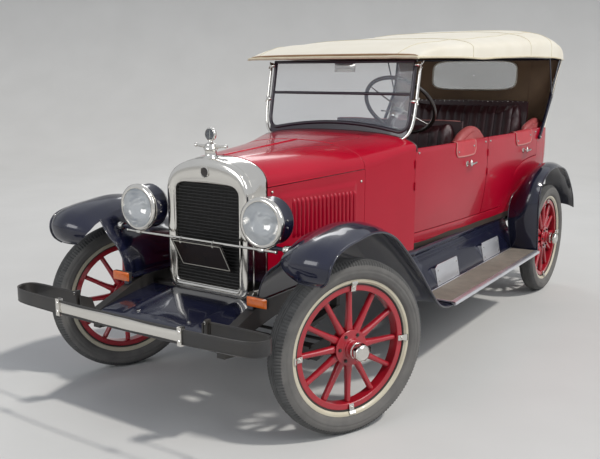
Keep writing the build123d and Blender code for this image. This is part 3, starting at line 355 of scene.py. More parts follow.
# Wheels. The tyre's half section runs from its bead to the middle of the tread: radius, distance outboard
TYRE_HALF = [(297.5, 35), (304, 37), (311, 40), (314, 44.5), (320, 49), (327, 51.8), (334, 53.2), (336, 54.2),
             (341, 54.6), (345, 54.2), (347, 53.2), (349, 54.2), (351, 53.4), (353, 54.2), (358, 53.6),
             (364, 51.5), (369, 49.5), (372, 48.5), (376, 45.5), (381, 41.5), (385.5, 37), (388.6, 32), (390.4, 27),
             (391.2, 24), (388.6, 23), (388.8, 18.5), (391.8, 17.5), (392.4, 11), (390, 10), (390, 6), (393.2, 5),
             (393.5, 0)]
TYRE_STEPS, NOTCH_EVERY, NOTCH_DEEP, NOTCH_TUCK = 480, 3, 3.4, 0.955
SHOULDER_R, SHOULDER_X, TREAD_ROW = (371, 391.5), 24, 17
SPOKES, SPOKE_ROWS, SPOKE_SIDES, SPOKE_OVAL = 12, 11, 16, 0.85
# Each station of a spoke: radius, half width, half depth
SPOKE = ((40, 10, 17), (60, 15.5, 17.5), (80, 18.5, 18.5), (92, 17.5, 18.5), (120, 14.8, 17.5), (170, 12.6, 16),
         (220, 12.0, 15.2), (243, 12.6, 15.2), (250, 12.8, 15.2), (253, 10.5, 12.5), (257, 10, 12))
RIM_STEPS, BOLTS, BOLT_CIRCLE, LUGS, LUG_BOLT = 120, 6, 62, 4, 272


def wheel_frame(side, rear):
    """Turns a wheel drawn about +X at the origin, outboard side positive, to its place."""
    if rear:
        centre, turn = np.array((side * TRACK / 2, WHEELBASE, AXLE_Z)), 0.0
    else:
        turn = STEER
        centre = np.array((side * (PIN_X + PIN_OFFSET * math.cos(turn)), side * PIN_OFFSET * math.sin(turn), AXLE_Z))
    c, s = math.cos(turn), math.sin(turn)

    def place(v):
        v = v * (side, side, 1)
        return np.stack([v[:, 0] * c - v[:, 1] * s, v[:, 0] * s + v[:, 1] * c, v[:, 2]], 1) + centre

    return place


def tyre_mesh():
    """0 sidewall with moulded rings, 1 ribbed tread in rubber painted darker as shade; the shoulders are notched all
    round.
    """
    prof = np.array(TYRE_HALF + [(r, -x) for r, x in TYRE_HALF[-2::-1]])
    notched = (prof[:, 0] > SHOULDER_R[0]) & (prof[:, 0] < SHOULDER_R[1]) & (np.abs(prof[:, 1]) > SHOULDER_X)
    rows = []
    for k, a in enumerate(np.linspace(0, TURN, TYRE_STEPS, endpoint=False)):
        r, x = prof[:, 0].copy(), prof[:, 1].copy()
        if k % NOTCH_EVERY == 0:
            r[notched] -= NOTCH_DEEP
            x[notched] *= NOTCH_TUCK
        rows.append(np.stack([x, r * math.cos(a), r * math.sin(a)], 1))
    m = Mesh()
    m.grid(rows, close_u=True)
    per = len(prof) - 1
    m.m = [int(TREAD_ROW <= i % per <= per - TREAD_ROW - 1) for i in range(len(m.f))]
    return m


def spoke_points(angle):
    """One turned spoke: oval, waisted, mitred at the hub and shouldered at the felloe."""
    out, tan = radial(angle)
    rows = []
    for r, w, d in SPOKE:
        ring = []
        for t in np.linspace(0, TURN, SPOKE_SIDES, endpoint=False):
            c, s = (math.copysign(abs(q) ** SPOKE_OVAL, q) for q in (math.cos(t), math.sin(t)))
            ring.append(out * r + tan * w * c + X * d * s)
        rows.append(ring)
    return rows


def wheel_mesh(rear):
    """0 red, 1 cream, 2 nickel, 3 dark."""
    m = Mesh()

    def turned(profile, steps, mat):
        m.lathe(profile, ORIGIN, X, steps, mat)

    turned([(297.5, -36), (297.5, -38), (308, -39.5), (309.5, -38), (309.5, -35.5), (308, -34), (300, -34),
            (299, -31), (297.5, -30), (297.5, 30), (299, 31), (300, 34), (308, 34), (309.5, 35.5), (309.5, 38),
            (308, 39.5), (301, 40.2), (296.5, 39), (292, 33), (289, 31), (288, -31), (291, -36), (297.5, -38)],
           RIM_STEPS, 1)
    turned([(288.5, -31), (288.5, 31), (283, 31.5), (281.5, 27), (281.5, -27), (283, -31.5), (288.5, -31)],
           RIM_STEPS, 3)
    turned([(281.8, -25), (281.8, 25), (280, 27), (258, 27), (255.5, 25), (255, 21), (255, -21), (255.5, -25),
            (258, -27), (280, -27), (281.8, -25)], RIM_STEPS, 0)
    for k in range(SPOKES):
        tip = m.n + (SPOKE_ROWS - 1) * SPOKE_SIDES
        m.grid(spoke_points(k * TURN / SPOKES), 0, close_v=True, flip=True)
        m.f.append(tuple(range(tip, tip + SPOKE_SIDES)))
        m.m.append(0)
    turned([(16.1, -27), (41, -27), (42, -26), (79, -26), (80, -25), (80, -20), (79, -19), (40, -18)], 64, 0)
    turned([(40, 18), (79, 19), (80.5, 20), (80.5, 24.5), (79, 26), (55, 26.5), (44, 29), (40.5, 33), (39.5, 41),
            (37, 43), (33, 44), (31.5, 47), (31.5, 66), (30, 68), (0, 68)], 64, 0)
    for k in range(BOLTS):
        c = radial((k + 0.5) * TURN / BOLTS)[0] * BOLT_CIRCLE
        m.lathe([(8.5, 26), (8.5, 27.5), (7.5, 28)], c, X, 16, 3)
        m.lathe([(6.6, 27.5), (6.6, 33), (5.6, 34), (0, 34)], c, X, 6, 3)
    turned([(33, 62), (36.5, 63), (37.5, 65), (37.5, 71), (36, 73), (33.5, 74)], 48, 2)
    m.lathe([(34, 72), (38.5, 76), (39.5, 79), (39.5, 104), (36.8, 109.5), (34, 112)], ORIGIN, X, 8, 2,
            start=radial(math.pi / 8)[0])
    turned([(35, 110), (30, 113), (28, 115.2), (24, 115.8), (22, 115), (19, 115), (0, 115.6)], 48, 2)
    for k in range(LUGS):
        out, tan = radial(k * TURN / LUGS)
        m.sheet([[out * r + tan * t * (15 if r > 285 else 12) + X * x for t in (-1, -0.6, 0, 0.6, 1)]
                 for r, x in ((300, 40), (296, 42), (290, 38), (282, 33), (272, 31.5), (262, 31), (257, 29))], -4, 2)
        m.lathe([(9.5, 31), (9.5, 37), (8.5, 38), (0, 38)], out * LUG_BOLT, X, 6, 2)
        m.lathe([(4.6, 38), (4.6, 45), (3.8, 46), (0, 46)], out * LUG_BOLT, X, 12, 2)
    if rear:
        turned([(157, -86), (165, -86), (166, -84), (166, -30), (162, -26), (80, -26), (60, -27), (42, -27)], 72, 3)
        turned([(157, -86), (157, -34), (60, -32)], 72, 3)
    return m


for end in ("front", "rear"):
    for side_name, side in SIDES:
        spot, place = f"{end}_{side_name}", wheel_frame(side, end == "rear")
        # The tread's darker rubber is painted shade.
        tyre_mesh().moved(place).make(f"tyre_look_{spot}", [RUBBER, TREAD_PAINTED_SHADE], f"wheel_{spot}", "tyre_rubber",
                                      [f"tyre_{spot}"], 28)
        wheel_mesh(end == "rear").moved(place).make(f"wheel_look_{spot}", [WHEEL_RED, CREAM, NICKEL, IRON],
                                                    f"wheel_{spot}", "spoke_red", [f"wheel_{spot}"], 32)


# Fenders: a crowned sheet along the outer edge, with a rolled bead.
# Each station: y, z of the outer edge, inner and outer limit, the inner edge's drop, crown share
FRONT_EDGE = (
    (-338, 740, 650, 757, 0, 0.1), (-354, 760, 612, 788, 8, 0.35), (-362, 796, 574, 806, 18, 0.7),
    (-356, 834, 558, 813, 32, 1.0), (-328, 866, 556, 818, 36, 1.0), (-270, 888, 557, 820, 33, 1.0),
    (-150, 904, 558, 820, 13, 1.0), (-40, 912, 562, 820, 8, 1.0), (70, 898, 568, 820, 10, 1.0),
    (180, 855, 576, 820, 16, 1.0), (281, 785, 584, 820, 24, 1.0), (437, 656, 596, 820, 34, 1.0),
    (540, 561, 602, 820, 36, 0.95), (582, 522, 604, 820, 36, 0.9), (705, 420, 616, 820, 20, 0.6),
    (790, 388, 632, 820, 5, 0.3), (858, 379, 642, 820, 0, 0.1))
REAR_EDGE = (
    (2373, 379, 643.3, 820, -18, 0.4), (2346, 594, 628, 820, -40, 0.8), (2340, 740, 612, 820, 60, 1.0),
    (2366, 822, 618, 820, 105, 1.0), (2426, 871, 626, 820, 103, 1.0), (2510, 908, 632, 820, 98, 1.0),
    (2598, 928, 636, 820, 90, 1.0), (2739, 933, 640, 820, 60, 1.0), (2860, 918, 643, 820, 14, 1.0),
    (2960, 892, 643, 820, -30, 1.0), (3073, 823, 640, 820, -35, 1.0), (3170, 740, 622, 820, -30, 1.0),
    (3250, 655, 600, 818, -20, 0.9), (3308, 567, 600, 812, -10, 0.8))
FENDER_ROWS, FENDER_COLS, CROWN_RISE = 110, 31, 36
SKIN_THICK, BEAD, HEM = 2.5, 5.0, 3.6
ABOVE = (0, 0, 1)
# The hood widens towards the cowl: its half width is HOOD_NOSE at HOOD_Y0, and grows by HOOD_FLARE a millimetre
HOOD_NOSE, HOOD_Y0, HOOD_FLARE = 240, -60, 0.2637


def fender_grid(table):
    """Points of a fender's upper face: rows along its edge, columns from the inner side to the bead."""
    t = np.array(table, float)
    line = smooth_line(t[:, :2], FENDER_ROWS)
    d = np.concatenate([[0], np.cumsum(np.linalg.norm(np.diff(t[:, :2], axis=0), axis=1))])
    at = np.linspace(0, d[-1], FENDER_ROWS)
    inner, outer, drop, crown = (curve(d, t[:, k], at) for k in (2, 3, 4, 5))
    tang = np.gradient(line, axis=0)
    tang /= np.linalg.norm(tang, axis=1, keepdims=True)
    share = np.linspace(0, 1, FENDER_COLS)
    rise = curve((0, 0.12, 0.32, 0.55, 0.8, 1), (0, 0.42, 0.88, 1.0, 0.66, 0), share)
    out = []
    for i in range(FENDER_ROWS):
        h = CROWN_RISE * crown[i] * rise - drop[i] * (1 - share) ** 2
        x = inner[i] + (outer[i] - inner[i]) * share
        out.append(np.stack([x, line[i, 0] - tang[i, 1] * h, line[i, 1] + tang[i, 0] * h], 1))
    return np.array(out)


def fender_piece(grid):
    """The sheet with a rolled bead along its outer edge and both its ends."""
    m = Mesh()
    m.sheet(grid, -SKIN_THICK)
    m.tube(grid[:, -1] + (1.5, 0, -1), BEAD, sides=12)
    m.tube(grid[0] + ABOVE, HEM)
    m.tube(grid[-1] + ABOVE, HEM)
    return m


def hood_half(y):
    return HOOD_NOSE + HOOD_FLARE * (y - HOOD_Y0)


def valance_grid():
    """The front fender's inner skin, from the ledge beside the hood up to the fender."""
    t = np.array(FRONT_EDGE[4:14], float)
    low, rows = 607, []
    for y in np.linspace(-263, 520, 44):
        high = float(curve(t[:, 0], t[:, 1] - t[:, 4] * 0.95, [y])[0])
        inner = along(t, y, 2) + 4
        foot = max(396, hood_half(y) + 26)
        rows.append(smooth_line([(foot + (inner - foot) * a, y, low + (high - low) * b) for a, b in (
            (0, 0), (0.004, 0.06), (0.09, 0.28), (0.34, 0.54), (0.65, 0.70), (1, 1))], 22))
    return np.array(rows)


m, skirt = fender_piece(fender_grid(FRONT_EDGE)), valance_grid()
m.sheet(skirt, SKIN_THICK)
m.tube(skirt[0] + ABOVE, HEM)
m.both().make("front_fender_skins", [DARK_PAINT_SKY_REFLECTION], "car", "black_paint", ["front_fenders"], 50)
rear = fender_grid(REAR_EDGE)
m = fender_piece(rear)
m.tube(rear[:, 0] + ABOVE, 3.0, sides=8)
m.both().make("rear_fender_skins", [DARK_PAINT_SKY_REFLECTION], "car", "black_paint", ["rear_fenders"], 50)


# Body surface: the plan at its widest as (y, half width), the tail's corner as (half width, y), and TUCK as
# (height, how far the side tucks in there)
BODY_PLAN = ((632, 422), (1002, 520), (1500, 570), (1918, 600), (2400, 623), (2640, 633), (2879, 640), (3045, 637))
BODY_CORNER = ((622, 3100), (585, 3146), (520, 3166), (300, 3172), (0, 3174))
TUCK = ((600, 58), (636, 46), (700, 32), (760, 22), (830, 12), (900, 5), (960, 1.5), (1020, 0), (1100, 0.5),
        (1180, 2), (1210, 3))
side_run = np.array([(along(BODY_PLAN, y), y) for y in range(632, 3046, 12)])
body_line = np.concatenate([side_run, smooth_line([side_run[-1]] + list(BODY_CORNER), 60)[1:]])
corner_steps = np.linalg.norm(np.diff(body_line[len(side_run) - 1:], axis=0), axis=1)
body_t = np.concatenate([side_run[:, 1], side_run[-1, 1] + np.cumsum(corner_steps)])
body_normal = np.gradient(body_line, axis=0)[:, ::-1] * (1, -1)
body_normal /= np.linalg.norm(body_normal, axis=1, keepdims=True)


def skin(t, z, inward=0.0):
    """A point of the left-hand body side: T is the place along it, going round the tail after 3045."""
    x, y, nx, ny = (np.interp(t, body_t, col) for col in (*body_line.T, *body_normal.T))
    into = along(TUCK, z) + inward
    return np.array((x - nx * into, y - ny * into, z))


def panel(m, t_from, t_to, low, high, cols=30, rows=16, crown=5.0, thick=40.0):
    """A slab of body side with a rounded top edge; LOW and HIGH say how high its edges are along the body."""
    outer, inner = [], []
    for t in np.linspace(t_from, t_to, cols):
        top = high(t)
        zs = np.linspace(low(t), top - crown, rows)
        for face, deep, way in ((outer, 0.0, 1), (inner, thick, -1)):
            face.append([skin(t, z, deep) for z in zs] + [skin(t, top - crown * 0.3, deep + way * crown * 0.3),
                                                          skin(t, top, deep + way * crown)])
    m.slab(np.array(outer), np.array(inner), (0, 1, 0))


# Tub, doors and cowl. SILL, BELT and DIP (over the rear wheel) are heights along the body
SILL, FRONT_FOOT = 604, 688.0
BELT = ((1002, 1166), (1500, 1172), (1918, 1179), (2400, 1180), (2600, 1184), (2879, 1194), (3045, 1190),
        (3110, 1183), (3200, 1180), (4000, 1180))
DIP = ((1918, 690), (2262, 690), (2300, 720), (2345, 800), (2400, 893), (2470, 942), (2560, 975), (2700, 993),
       (2830, 1000))
HINGE_Z = (965, 1085)
# Each door: where it starts and ends along the body, its hinge, its handle, and its flap's top and foot
DOORS = {"front": ((1012, 1915), (522.5, 1010.5), (1624, 1038), (1476, 1724), (1472, 1730)),
         "rear": ((1921, 2827), (601.5, 1920.5), (2551, 1053), (2398, 2700), (2404, 2706))}
# Each station of the cowl: y, half width, shoulder, crown
COWL = ((628, 421, 1090, 1222), (820, 472, 1130, 1238), (1020, 522, 1168, 1252), (1060, 531, 1170, 1252))
ARCH = 2.4
STUD = [(7, 0), (6, 4), (3, 5.5), (0, 6)]
FLAP_DROP, FLAP_SWELL = 78, 1.6
HINGE_RADIUS, HINGE_HALF = 6, 13.6
DOOR_POST = ((489, 513), (1891, 1945), (620, 1118))
FIREWALL = ((-400, 400), (640, 652), (610, 1060))


def sill(t):
    return SILL


def belt(t):
    return straight(BELT, t)


def dip(t, grow=0.0):
    return along(DIP, t) + grow


def door_foot(end, t):
    if end == "front":
        return FRONT_FOOT + 5
    return dip(t - 6, 4.0) if t < 2500 else dip(t, 4.0)


def arch_line(half, shoulder, crown, low, steps=24):
    """Half a cross-section, from the foot of the side to the crown on the centre line."""
    pts = [(half - 6, low), (half, low + 8)] + [(half, z) for z in np.linspace(low + 60, shoulder - 12, 5)]
    for a in np.linspace(0, QUARTER, steps):
        c, s = max(0.0, math.cos(a)), math.sin(a)
        pts.append((half * c ** (2 / ARCH), shoulder + (crown - shoulder) * s ** (2 / ARCH)))
    return pts


def arch_height(x, half, shoulder, crown):
    return shoulder + (crown - shoulder) * max(0.0, 1 - (abs(x) / half) ** ARCH) ** (1 / ARCH)


def cowl_at(y):
    return [along(COWL, y, k) for k in (1, 2, 3)]


def tub():
    m = Mesh()
    panel(m, 1002, 1918, sill, lambda t: FRONT_FOOT, rows=6, crown=1.0)
    panel(m, 1918, 2830, sill, lambda t: dip(t, -2.0), rows=10, crown=1.0, cols=50)
    panel(m, 2830, float(body_t[-1]), sill, belt, rows=18, cols=44)
    m.block(*DOOR_POST, 2)
    for z in HINGE_Z:
        for low in (z - 22, z + 14):
            m.block((508, 599), (1914.5, 1919.5), (low, low + 8), 2)
            for end in ("rear", "front"):
                m.tube([(*DOORS[end][1], low), (*DOORS[end][1], low + 8)], HINGE_RADIUS, sides=16)
    rows = np.array([[(x, y, z) for x, z in arch_line(*cowl_at(y), SILL)] for y in np.linspace(629, 1020, 26)])
    m.sheet(rows, 14, 0, back=1)
    m.tube(rows[-1][6:] + (-3, 2, -3), 7, 1)
    m.tube(rows[0] + (0, 1, 0) + (-2, 0, -2), 3.2, sides=8)
    m.both()
    m.block(*FIREWALL, 2)
    m.make("body_look", [RED, LEATHER, BLACK], "car", "body_paint", ["body_tub"], 30)


def door_mesh(end):
    """One left-hand door: 0 paint, 1 lining, 2 nickel, 3 lit leather, 4 pale edging."""
    m = Mesh()
    (t_from, t_to), hinge, (y, z), (t0, t1), (b0, b1) = DOORS[end]
    panel(m, t_from, t_to, lambda t: door_foot(end, t), belt, cols=60, rows=20)
    for high in HINGE_Z:
        m.tube([(*hinge, high - HINGE_HALF), (*hinge, high + HINGE_HALF)], HINGE_RADIUS, sides=16)
    x = skin(y, z)[0]
    m.lathe([(0, -2), (17, -2), (18, 0), (17, 3), (12, 5), (8, 7), (7.5, 12), (7.5, 26), (0, 28)], (x, y, z), X, 32, 2)
    m.tube([(x + 26, y, z - 13), (x + 27, y, z - 8), (x + 27, y, z + 14), (x + 24, y, z + 24)], (5, 8.5, 8, 4.5), 2, 14)
    m.tube(smooth_line([(x + 27, y - 2, z - 2), (x + 29, y + 30, z - 1), (x + 29, y + 66, z + 3),
                        (x + 27, y + 84, z + 6)], 20),
           np.concatenate([np.linspace(6, 8.5, 8), np.linspace(8.5, 9.5, 8), np.linspace(9, 5, 4)]), 2, 14, flat=0.75)
    over = []
    for s in np.linspace(0, 1, 40):
        drop = FLAP_DROP * (1 - max(0.0, abs(2 * s - 1) - 0.8) ** 2 * 9) + 4 * math.sin(math.pi * s)
        t = t0 + (t1 - t0) * s
        row = [skin(t, belt(t) + up, into) for up, into in ((-30, 43), (1, 42), (5, 34), (5.5, 20), (4.5, 5),
                                                            (1.5, -1.5))]
        for r in np.linspace(0, 1, 12):
            t = (t0 + (t1 - t0) * s) * (1 - r) + (b0 + (b1 - b0) * s) * r
            swell = 2.6 + FLAP_SWELL * math.sin(math.pi * r) * math.sin(math.pi * s)
            row.append(skin(t, belt(t) - 4 - drop * r, -swell))
        over.append(row)
    over = np.array(over)
    # The flap is in leather painted lighter, as if sunlit.
    m.sheet(over, 1.6, 3)
    border = np.concatenate([over[0, 3:], over[1:, -1], over[-1, 3:-1][::-1]])
    m.tube(border + (1.2, 0, 0), 4.2, 4, sides=8, flat=0.6)
    for k, r in ((4, 13), (35, 10)):
        m.lathe([(7, 2), (6, 5), (3, 6.5), (0, 6.8)], over[k, r], X, 14, 2)
    for t in (t_from + 34, t_to - 36):
        m.lathe(STUD, skin(t, belt(t) - 22), X, 14, 2)
    m.tube([skin(t, belt(t) - 3) + (-3, 0, 3) for t in np.linspace(t_from + 2, t_to - 2, 60)], 4.0)
    return m


tub()
for end in DOORS:
    for side_name, side in SIDES:
        body = f"door_{end}_{side_name}"
        door_mesh(end).on_side(side).make(f"door_look_{end}_{side_name}", [RED, LEATHER, NICKEL, FLAP_PAINTED_LIT, PIPING], body,
                                          "body_paint", [body], 30)


# Hood: four panels with their hinges, raised fields and louvres
HOOD_ENDS, HOOD_FOOT = (5, 627), 613
# The raised field's ends, foot and top, how its top slopes, its relief and the width of its rounded edge
FIELD_Y, FIELD_LOW, FIELD_HIGH, FIELD_SLOPE, FIELD_LIFT, FIELD_EDGE = (70, 566), 700, 1008, 0.038, 5.0, 2.2
LOUVRES, LOUVRE_START, LOUVRE_PITCH = 16, 146, 26.2
LOUVRE_Z, LOUVRE_REACH = (800, 986), 8.5
HINGE_LINE = [(0, 6, 1186.1), (0, 626, 1221.9)]


def hood_at(y):
    """Half width, shoulder and crown of the hood."""
    k = (y - 4) / 624
    return 256 + 165 * k, 1052 + 38 * k, 1186 + 36 * k


def hood_top_mesh():
    m, rows = Mesh(), []
    for y in np.linspace(*HOOD_ENDS, 28):
        half, shoulder, crown = hood_at(y)
        line = [(x, z) for x, z in arch_line(half, shoulder, crown, 700, steps=26)[7:] if x > 6.5] + [(6.0, crown)]
        rows.append([(x, y, z) for x, z in smooth_line([(half - 1, shoulder + 5)] + line[1:], 30)])
    rows = np.array(rows)
    m.sheet(rows, SKIN_THICK)
    for edge, back in ((0, 2), (-1, -2)):
        m.tube(rows[edge] + (0, back, -1), 2.6, sides=8)
    m.tube([(2.5, 6, 1186.2), (2.5, 626, 1221.9)], 3.0)
    m.tube(rows[:, 0] + (0.5, 0, -1.5), 3.0, sides=8)
    return m


def hood_side_mesh():
    """The upright panel: a flat sheet with a raised field, and louvres pressed out of it, each with a dark strip of
    painted shade behind its lip.
    """
    m, rows = Mesh(), []
    for y in np.linspace(*HOOD_ENDS, 90):
        half, shoulder, _ = hood_at(y)
        row = []
        for z in HOOD_FOOT + (shoulder - 2 - HOOD_FOOT) * np.linspace(0, 1, 44):
            inside = min(y - FIELD_Y[0], FIELD_Y[1] - y, z - FIELD_LOW, FIELD_HIGH + (y - 68) * FIELD_SLOPE - z)
            lift = FIELD_LIFT / (1 + math.exp(-max(-40, min(40, (inside - 4) / FIELD_EDGE))))
            row.append((half + lift - 1, y, z))
        rows.append(row)
    m.sheet(rows, SKIN_THICK)
    low, high = LOUVRE_Z
    for k in range(LOUVRES):
        y = LOUVRE_START + k * LOUVRE_PITCH
        half, scoop = hood_at(y)[0] + 4, []
        for z in np.linspace(low, high, 22):
            s = (z - low) / (high - low)
            reach = LOUVRE_REACH * min(1, math.sin(math.pi * min(0.5, min(s, 1 - s) * 5)))
            line = [(0, 0), (2.5, reach * 0.45), (7, reach * 0.9), (12, reach), (14, reach * 0.96)]
            scoop.append([(half + out + dy * HOOD_FLARE, y + dy, z) for dy, out in line])
        m.sheet(scoop, 1.2)
        # A dark strip just behind each louvre's lip: painted shade where the opening would be.
        m.add([(half + 0.5 + HOOD_FLARE * dy, y + dy, z) for dy, z in (
            (9, low + 3), (17, low + 3), (17, high - 3), (9, high - 3))], [(0, 1, 2, 3)], 1)
    for z in (660, 1030):
        for y in (30, 600):
            m.lathe([(7, 0), (7, 2), (5, 4), (0, 4.6)], (hood_at(y)[0], y, z), X, 14, 2)
    for y in (120, 520):
        half = hood_at(y)[0]
        m.lathe([(13, 0), (13, 3), (9, 6), (6, 8), (6, 22), (0, 24)], (half, y, 650), X, 20, 2)
        m.tube([(half + 20, y - 22, 650), (half + 22, y, 652), (half + 26, y + 22, 650)], (4, 6, 4), 2)
    return m


for side_name, side in SIDES:
    for part, mesh, mats in (("top", hood_top_mesh(), [RED]), ("side", hood_side_mesh(), [RED, CORE_BLACK_AND_SLOT_SHADE, NICKEL])):
        body = f"hood_{part}_{side_name}"
        mesh.on_side(side).make(f"hood_{part}_look_{side_name}", mats, body, "body_paint", [body], 30)
m = Mesh()
m.tube(HINGE_LINE, 5.1, sides=20)
m.make("hood_centre_hinge", [RED], "car", "body_paint")


# Radiator: plated shell, finned core, cap with wings, a gauge on it and a blank badge
CAP, GAUGE, BADGE = (0, -85, 0), (0, 0, 1289), (0, 0, 1120)
CAP_Y = CAP[1]
CORE_BARS, BAR_PITCH, CORE_FINS, FIN_PITCH = 31, 15.4, 47, 8


def rounded_outline(half, low, radius, top):
    """Half an outline from the middle of the foot, round the lower corner and up over the given top points."""
    pts = [(x, low) for x in np.linspace(0, half - radius, 8)]
    pts += [(half - radius + radius * math.sin(a), low + radius - radius * math.cos(a))
            for a in np.linspace(0.15, QUARTER, 8)]
    pts += [(half, z) for z in np.linspace(low + radius + 20, top[0][1] - 14, 18)]
    return np.array(pts + list(map(tuple, smooth_line(top, 30))))


def shell_outline(half, low, high):
    return rounded_outline(half, low, 46, [(half, high - 170), (half - 2, high - 138), (half - 12, high - 104),
                                           (half - 46, high - 58), (half - 105, high - 26), (half - 175, high - 8),
                                           (0, high)])


def radiator():
    m = Mesh()
    opening = rounded_outline(187, 589, 20, [(187, 1004), (184, 1032), (172, 1050), (150, 1060), (100, 1064),
                                             (0, 1067)])
    outer = shell_outline(240, 548, 1183)
    rows = []
    for share, y in ((0, -108), (0, -122), (0.05, -126.5), (0.12, -128.5), (0.2, -127.5), (0.26, -128),
                     (0.5, -131.5), (0.75, -131.5), (0.9, -129), (0.97, -125), (1.0, -119)):
        rows.append([(x, y, z) for x, z in opening * (1 - share) + outer * share])
    for half, high, y in ((241, 1184, -110), (243, 1185, -92), (246.5, 1186, -90), (249, 1186, -50),
                          (253.5, 1186, -12), (254, 1186, -3), (252, 1184, 0), (244, 1176, -2)):
        meet = np.clip((y + 92) / 80.0, 0, 1)
        arch = [(x, z, arch_height(x, *hood_at(4))) for x, z in shell_outline(half, 546, high)]
        rows.append([(x, y, z + (max(z, a) - z) * meet if z > 1016 else z) for x, z, a in arch])
    m.grid(rows)
    m.both()
    m.lathe([(40, 1172), (36, 1184), (29, 1190), (27, 1196), (27, 1212), (29, 1217), (33, 1220), (33, 1228),
             (30, 1232), (27, 1236), (25, 1244), (17, 1250), (12, 1253), (9, 1258), (9, 1264), (12, 1267), (0, 1268)],
            CAP, Z, 40)
    for side in (1, -1):
        m.tube([(side * x, CAP_Y, z) for x, z in ((20, 1235), (60, 1236), (84, 1237))], (8, 6, 5), sides=14)
        m.lathe([(0, -9), (7, -7), (9.5, 0), (7, 7), (0, 9)], (side * 88, CAP_Y, 1237), X, 20)
        m.tube([(side * x, CAP_Y, z) for x, z in ((24, 1227), (55, 1231), (80, 1234))], (5, 4, 3))
    for profile, place, steps, mat in (
            ([(30, -78), (31, -84), (31, -88), (28, -92), (25.5, -93), (25, -90.5)], GAUGE, 48, 0),
            ([(25, -90.5), (0, -90.5)], GAUGE, 48, 1), ([(30, -78), (20, -74), (0, -73)], GAUGE, 48, 0),
            ([(25, -91), (14, -92.6), (0, -93)], GAUGE, 32, 3),
            ([(25, -126), (25, -134), (22, -136.5), (20.5, -134.5)], BADGE, 48, 0),
            ([(20.5, -134.5), (0, -135.5)], BADGE, 48, 1)):
        m.lathe(profile, place, Y, steps, mat)
    m.block((-1.2, 1.2), (-91.6, -90.6), (1272, 1306), 2)
    m.make("radiator_shell_look", [NICKEL, DARK_RIM, PALE, GLASS], "car", "nickel", ["radiator_shell"], 38)
    core = Mesh()
    core.block((-188.5, 188.5), (-105, -14), (581, 1066))
    x = np.linspace(-188, 188, 60)
    for k in range(CORE_BARS):
        z = 594 + k * BAR_PITCH + 0.8 * np.sin(x * 0.09 + k * 1.7)
        core.tube(np.stack([x, np.full(len(x), -112.0), z], 1), 2.6, sides=6, up=Z)
    for k in range(CORE_FINS):
        at = -184 + k * FIN_PITCH
        core.block((at - 1, at + 1), (-109.5, -105), (583, 1064), 1)
    core.make("radiator_core_look", [CORE_BLACK_AND_SLOT_SHADE, IRON], "car", "core_black", ["radiator_core"])


radiator()


# Headlamps: plated rims, bowed lenses over bowls, black drums, ball mounts and the cross bar
LAMP_X, LAMP_Y, LAMP_Z, DRUM_RADIUS = 366, -207, 930, 105.4
BAR_Y, BAR_Z = -193, 812


def headlamps():
    m, glass = Mesh(), Mesh()
    for side in (1, -1):
        x, c = side * LAMP_X, (side * LAMP_X, LAMP_Y, LAMP_Z)
        m.lathe([(94, 6), (94, 1), (97, 0), (101, -0.5), (106, 1), (111, 4), (114, 9), (114.5, 15), (114, 22),
                 (110, 26), (106, 27)], c, Y, 72)
        m.lathe([(106.5, 26), (107, 30), (107, 36), (105.5, 38), (105.5, 96), (106.5, 98), (106.5, 102), (104, 106),
                 (97, 120), (82, 136), (58, 148), (30, 154.5), (0, 156)], c, Y, 72, 1)
        m.lathe([(95, 5), (93, 12), (86, 30), (72, 52), (52, 70), (28, 80), (0, 83)], c, Y, 56)
        m.lathe([(9, 83), (9, 62), (14, 54), (15, 44), (10, 34), (0, 31)], c, Y, 24, 2)
        for z in (16, -16):
            for way in (-1, 1):
                m.lathe([(5, 0), (4.5, 2.4), (0, 3.2)], (x + way * DRUM_RADIUS, -152, LAMP_Z + z), (way, 0, 0), 12)
        glass.lathe([(95.5, 4), (80, 0.5), (55, -2.6), (28, -4.3), (0, -5)], c, Y, 56)
        m.lathe([(11, 0), (13, 4), (13, 20), (18, 30)], (x, -176, 800), Z, 24, 1)
        m.lathe([(0, -20), (11, -17), (18, -8), (20, 0), (18, 8), (11, 17), (10, 36)], (side * 408, -178, 832), Z,
                28, 1)
        m.lathe([(16, 26), (17, 30), (16, 34), (9, 36)], (side * 408, -178, 826), Z, 6)
        m.tube([(side * 416, -180, 828), (side * 450, -183, 826), (side * 500, -185, 826)], (11, 9, 9), 1, 16)
        m.lathe([(10, 0), (17, 2), (17, 9), (14, 11), (19, 14), (20, 22), (19, 30), (14, 34), (9, 36), (0, 36)],
                (side * 478, -184, 826), (side, 0, 0), 28)
        m.lathe([(0, -16), (12, -15), (13, -8), (13, 8), (12, 15), (0, 16)], (x, BAR_Y, BAR_Z), X, 20)
        m.lathe([(0, -5), (8, -4), (9, 0), (8, 4), (0, 5)], (side * 442, BAR_Y, BAR_Z), X, 20)
    m.tube([(-440, BAR_Y, BAR_Z), (440, BAR_Y, BAR_Z)], 6.5, sides=18)
    m.make("headlamps_look", [NICKEL, DARK_PAINT_SKY_REFLECTION, PALE], "car", "nickel", ["headlamps"], 34)
    glass.make("headlamp_lenses", [LENS], "car", "glass_clear", ["headlamp_glasses"])


headlamps()


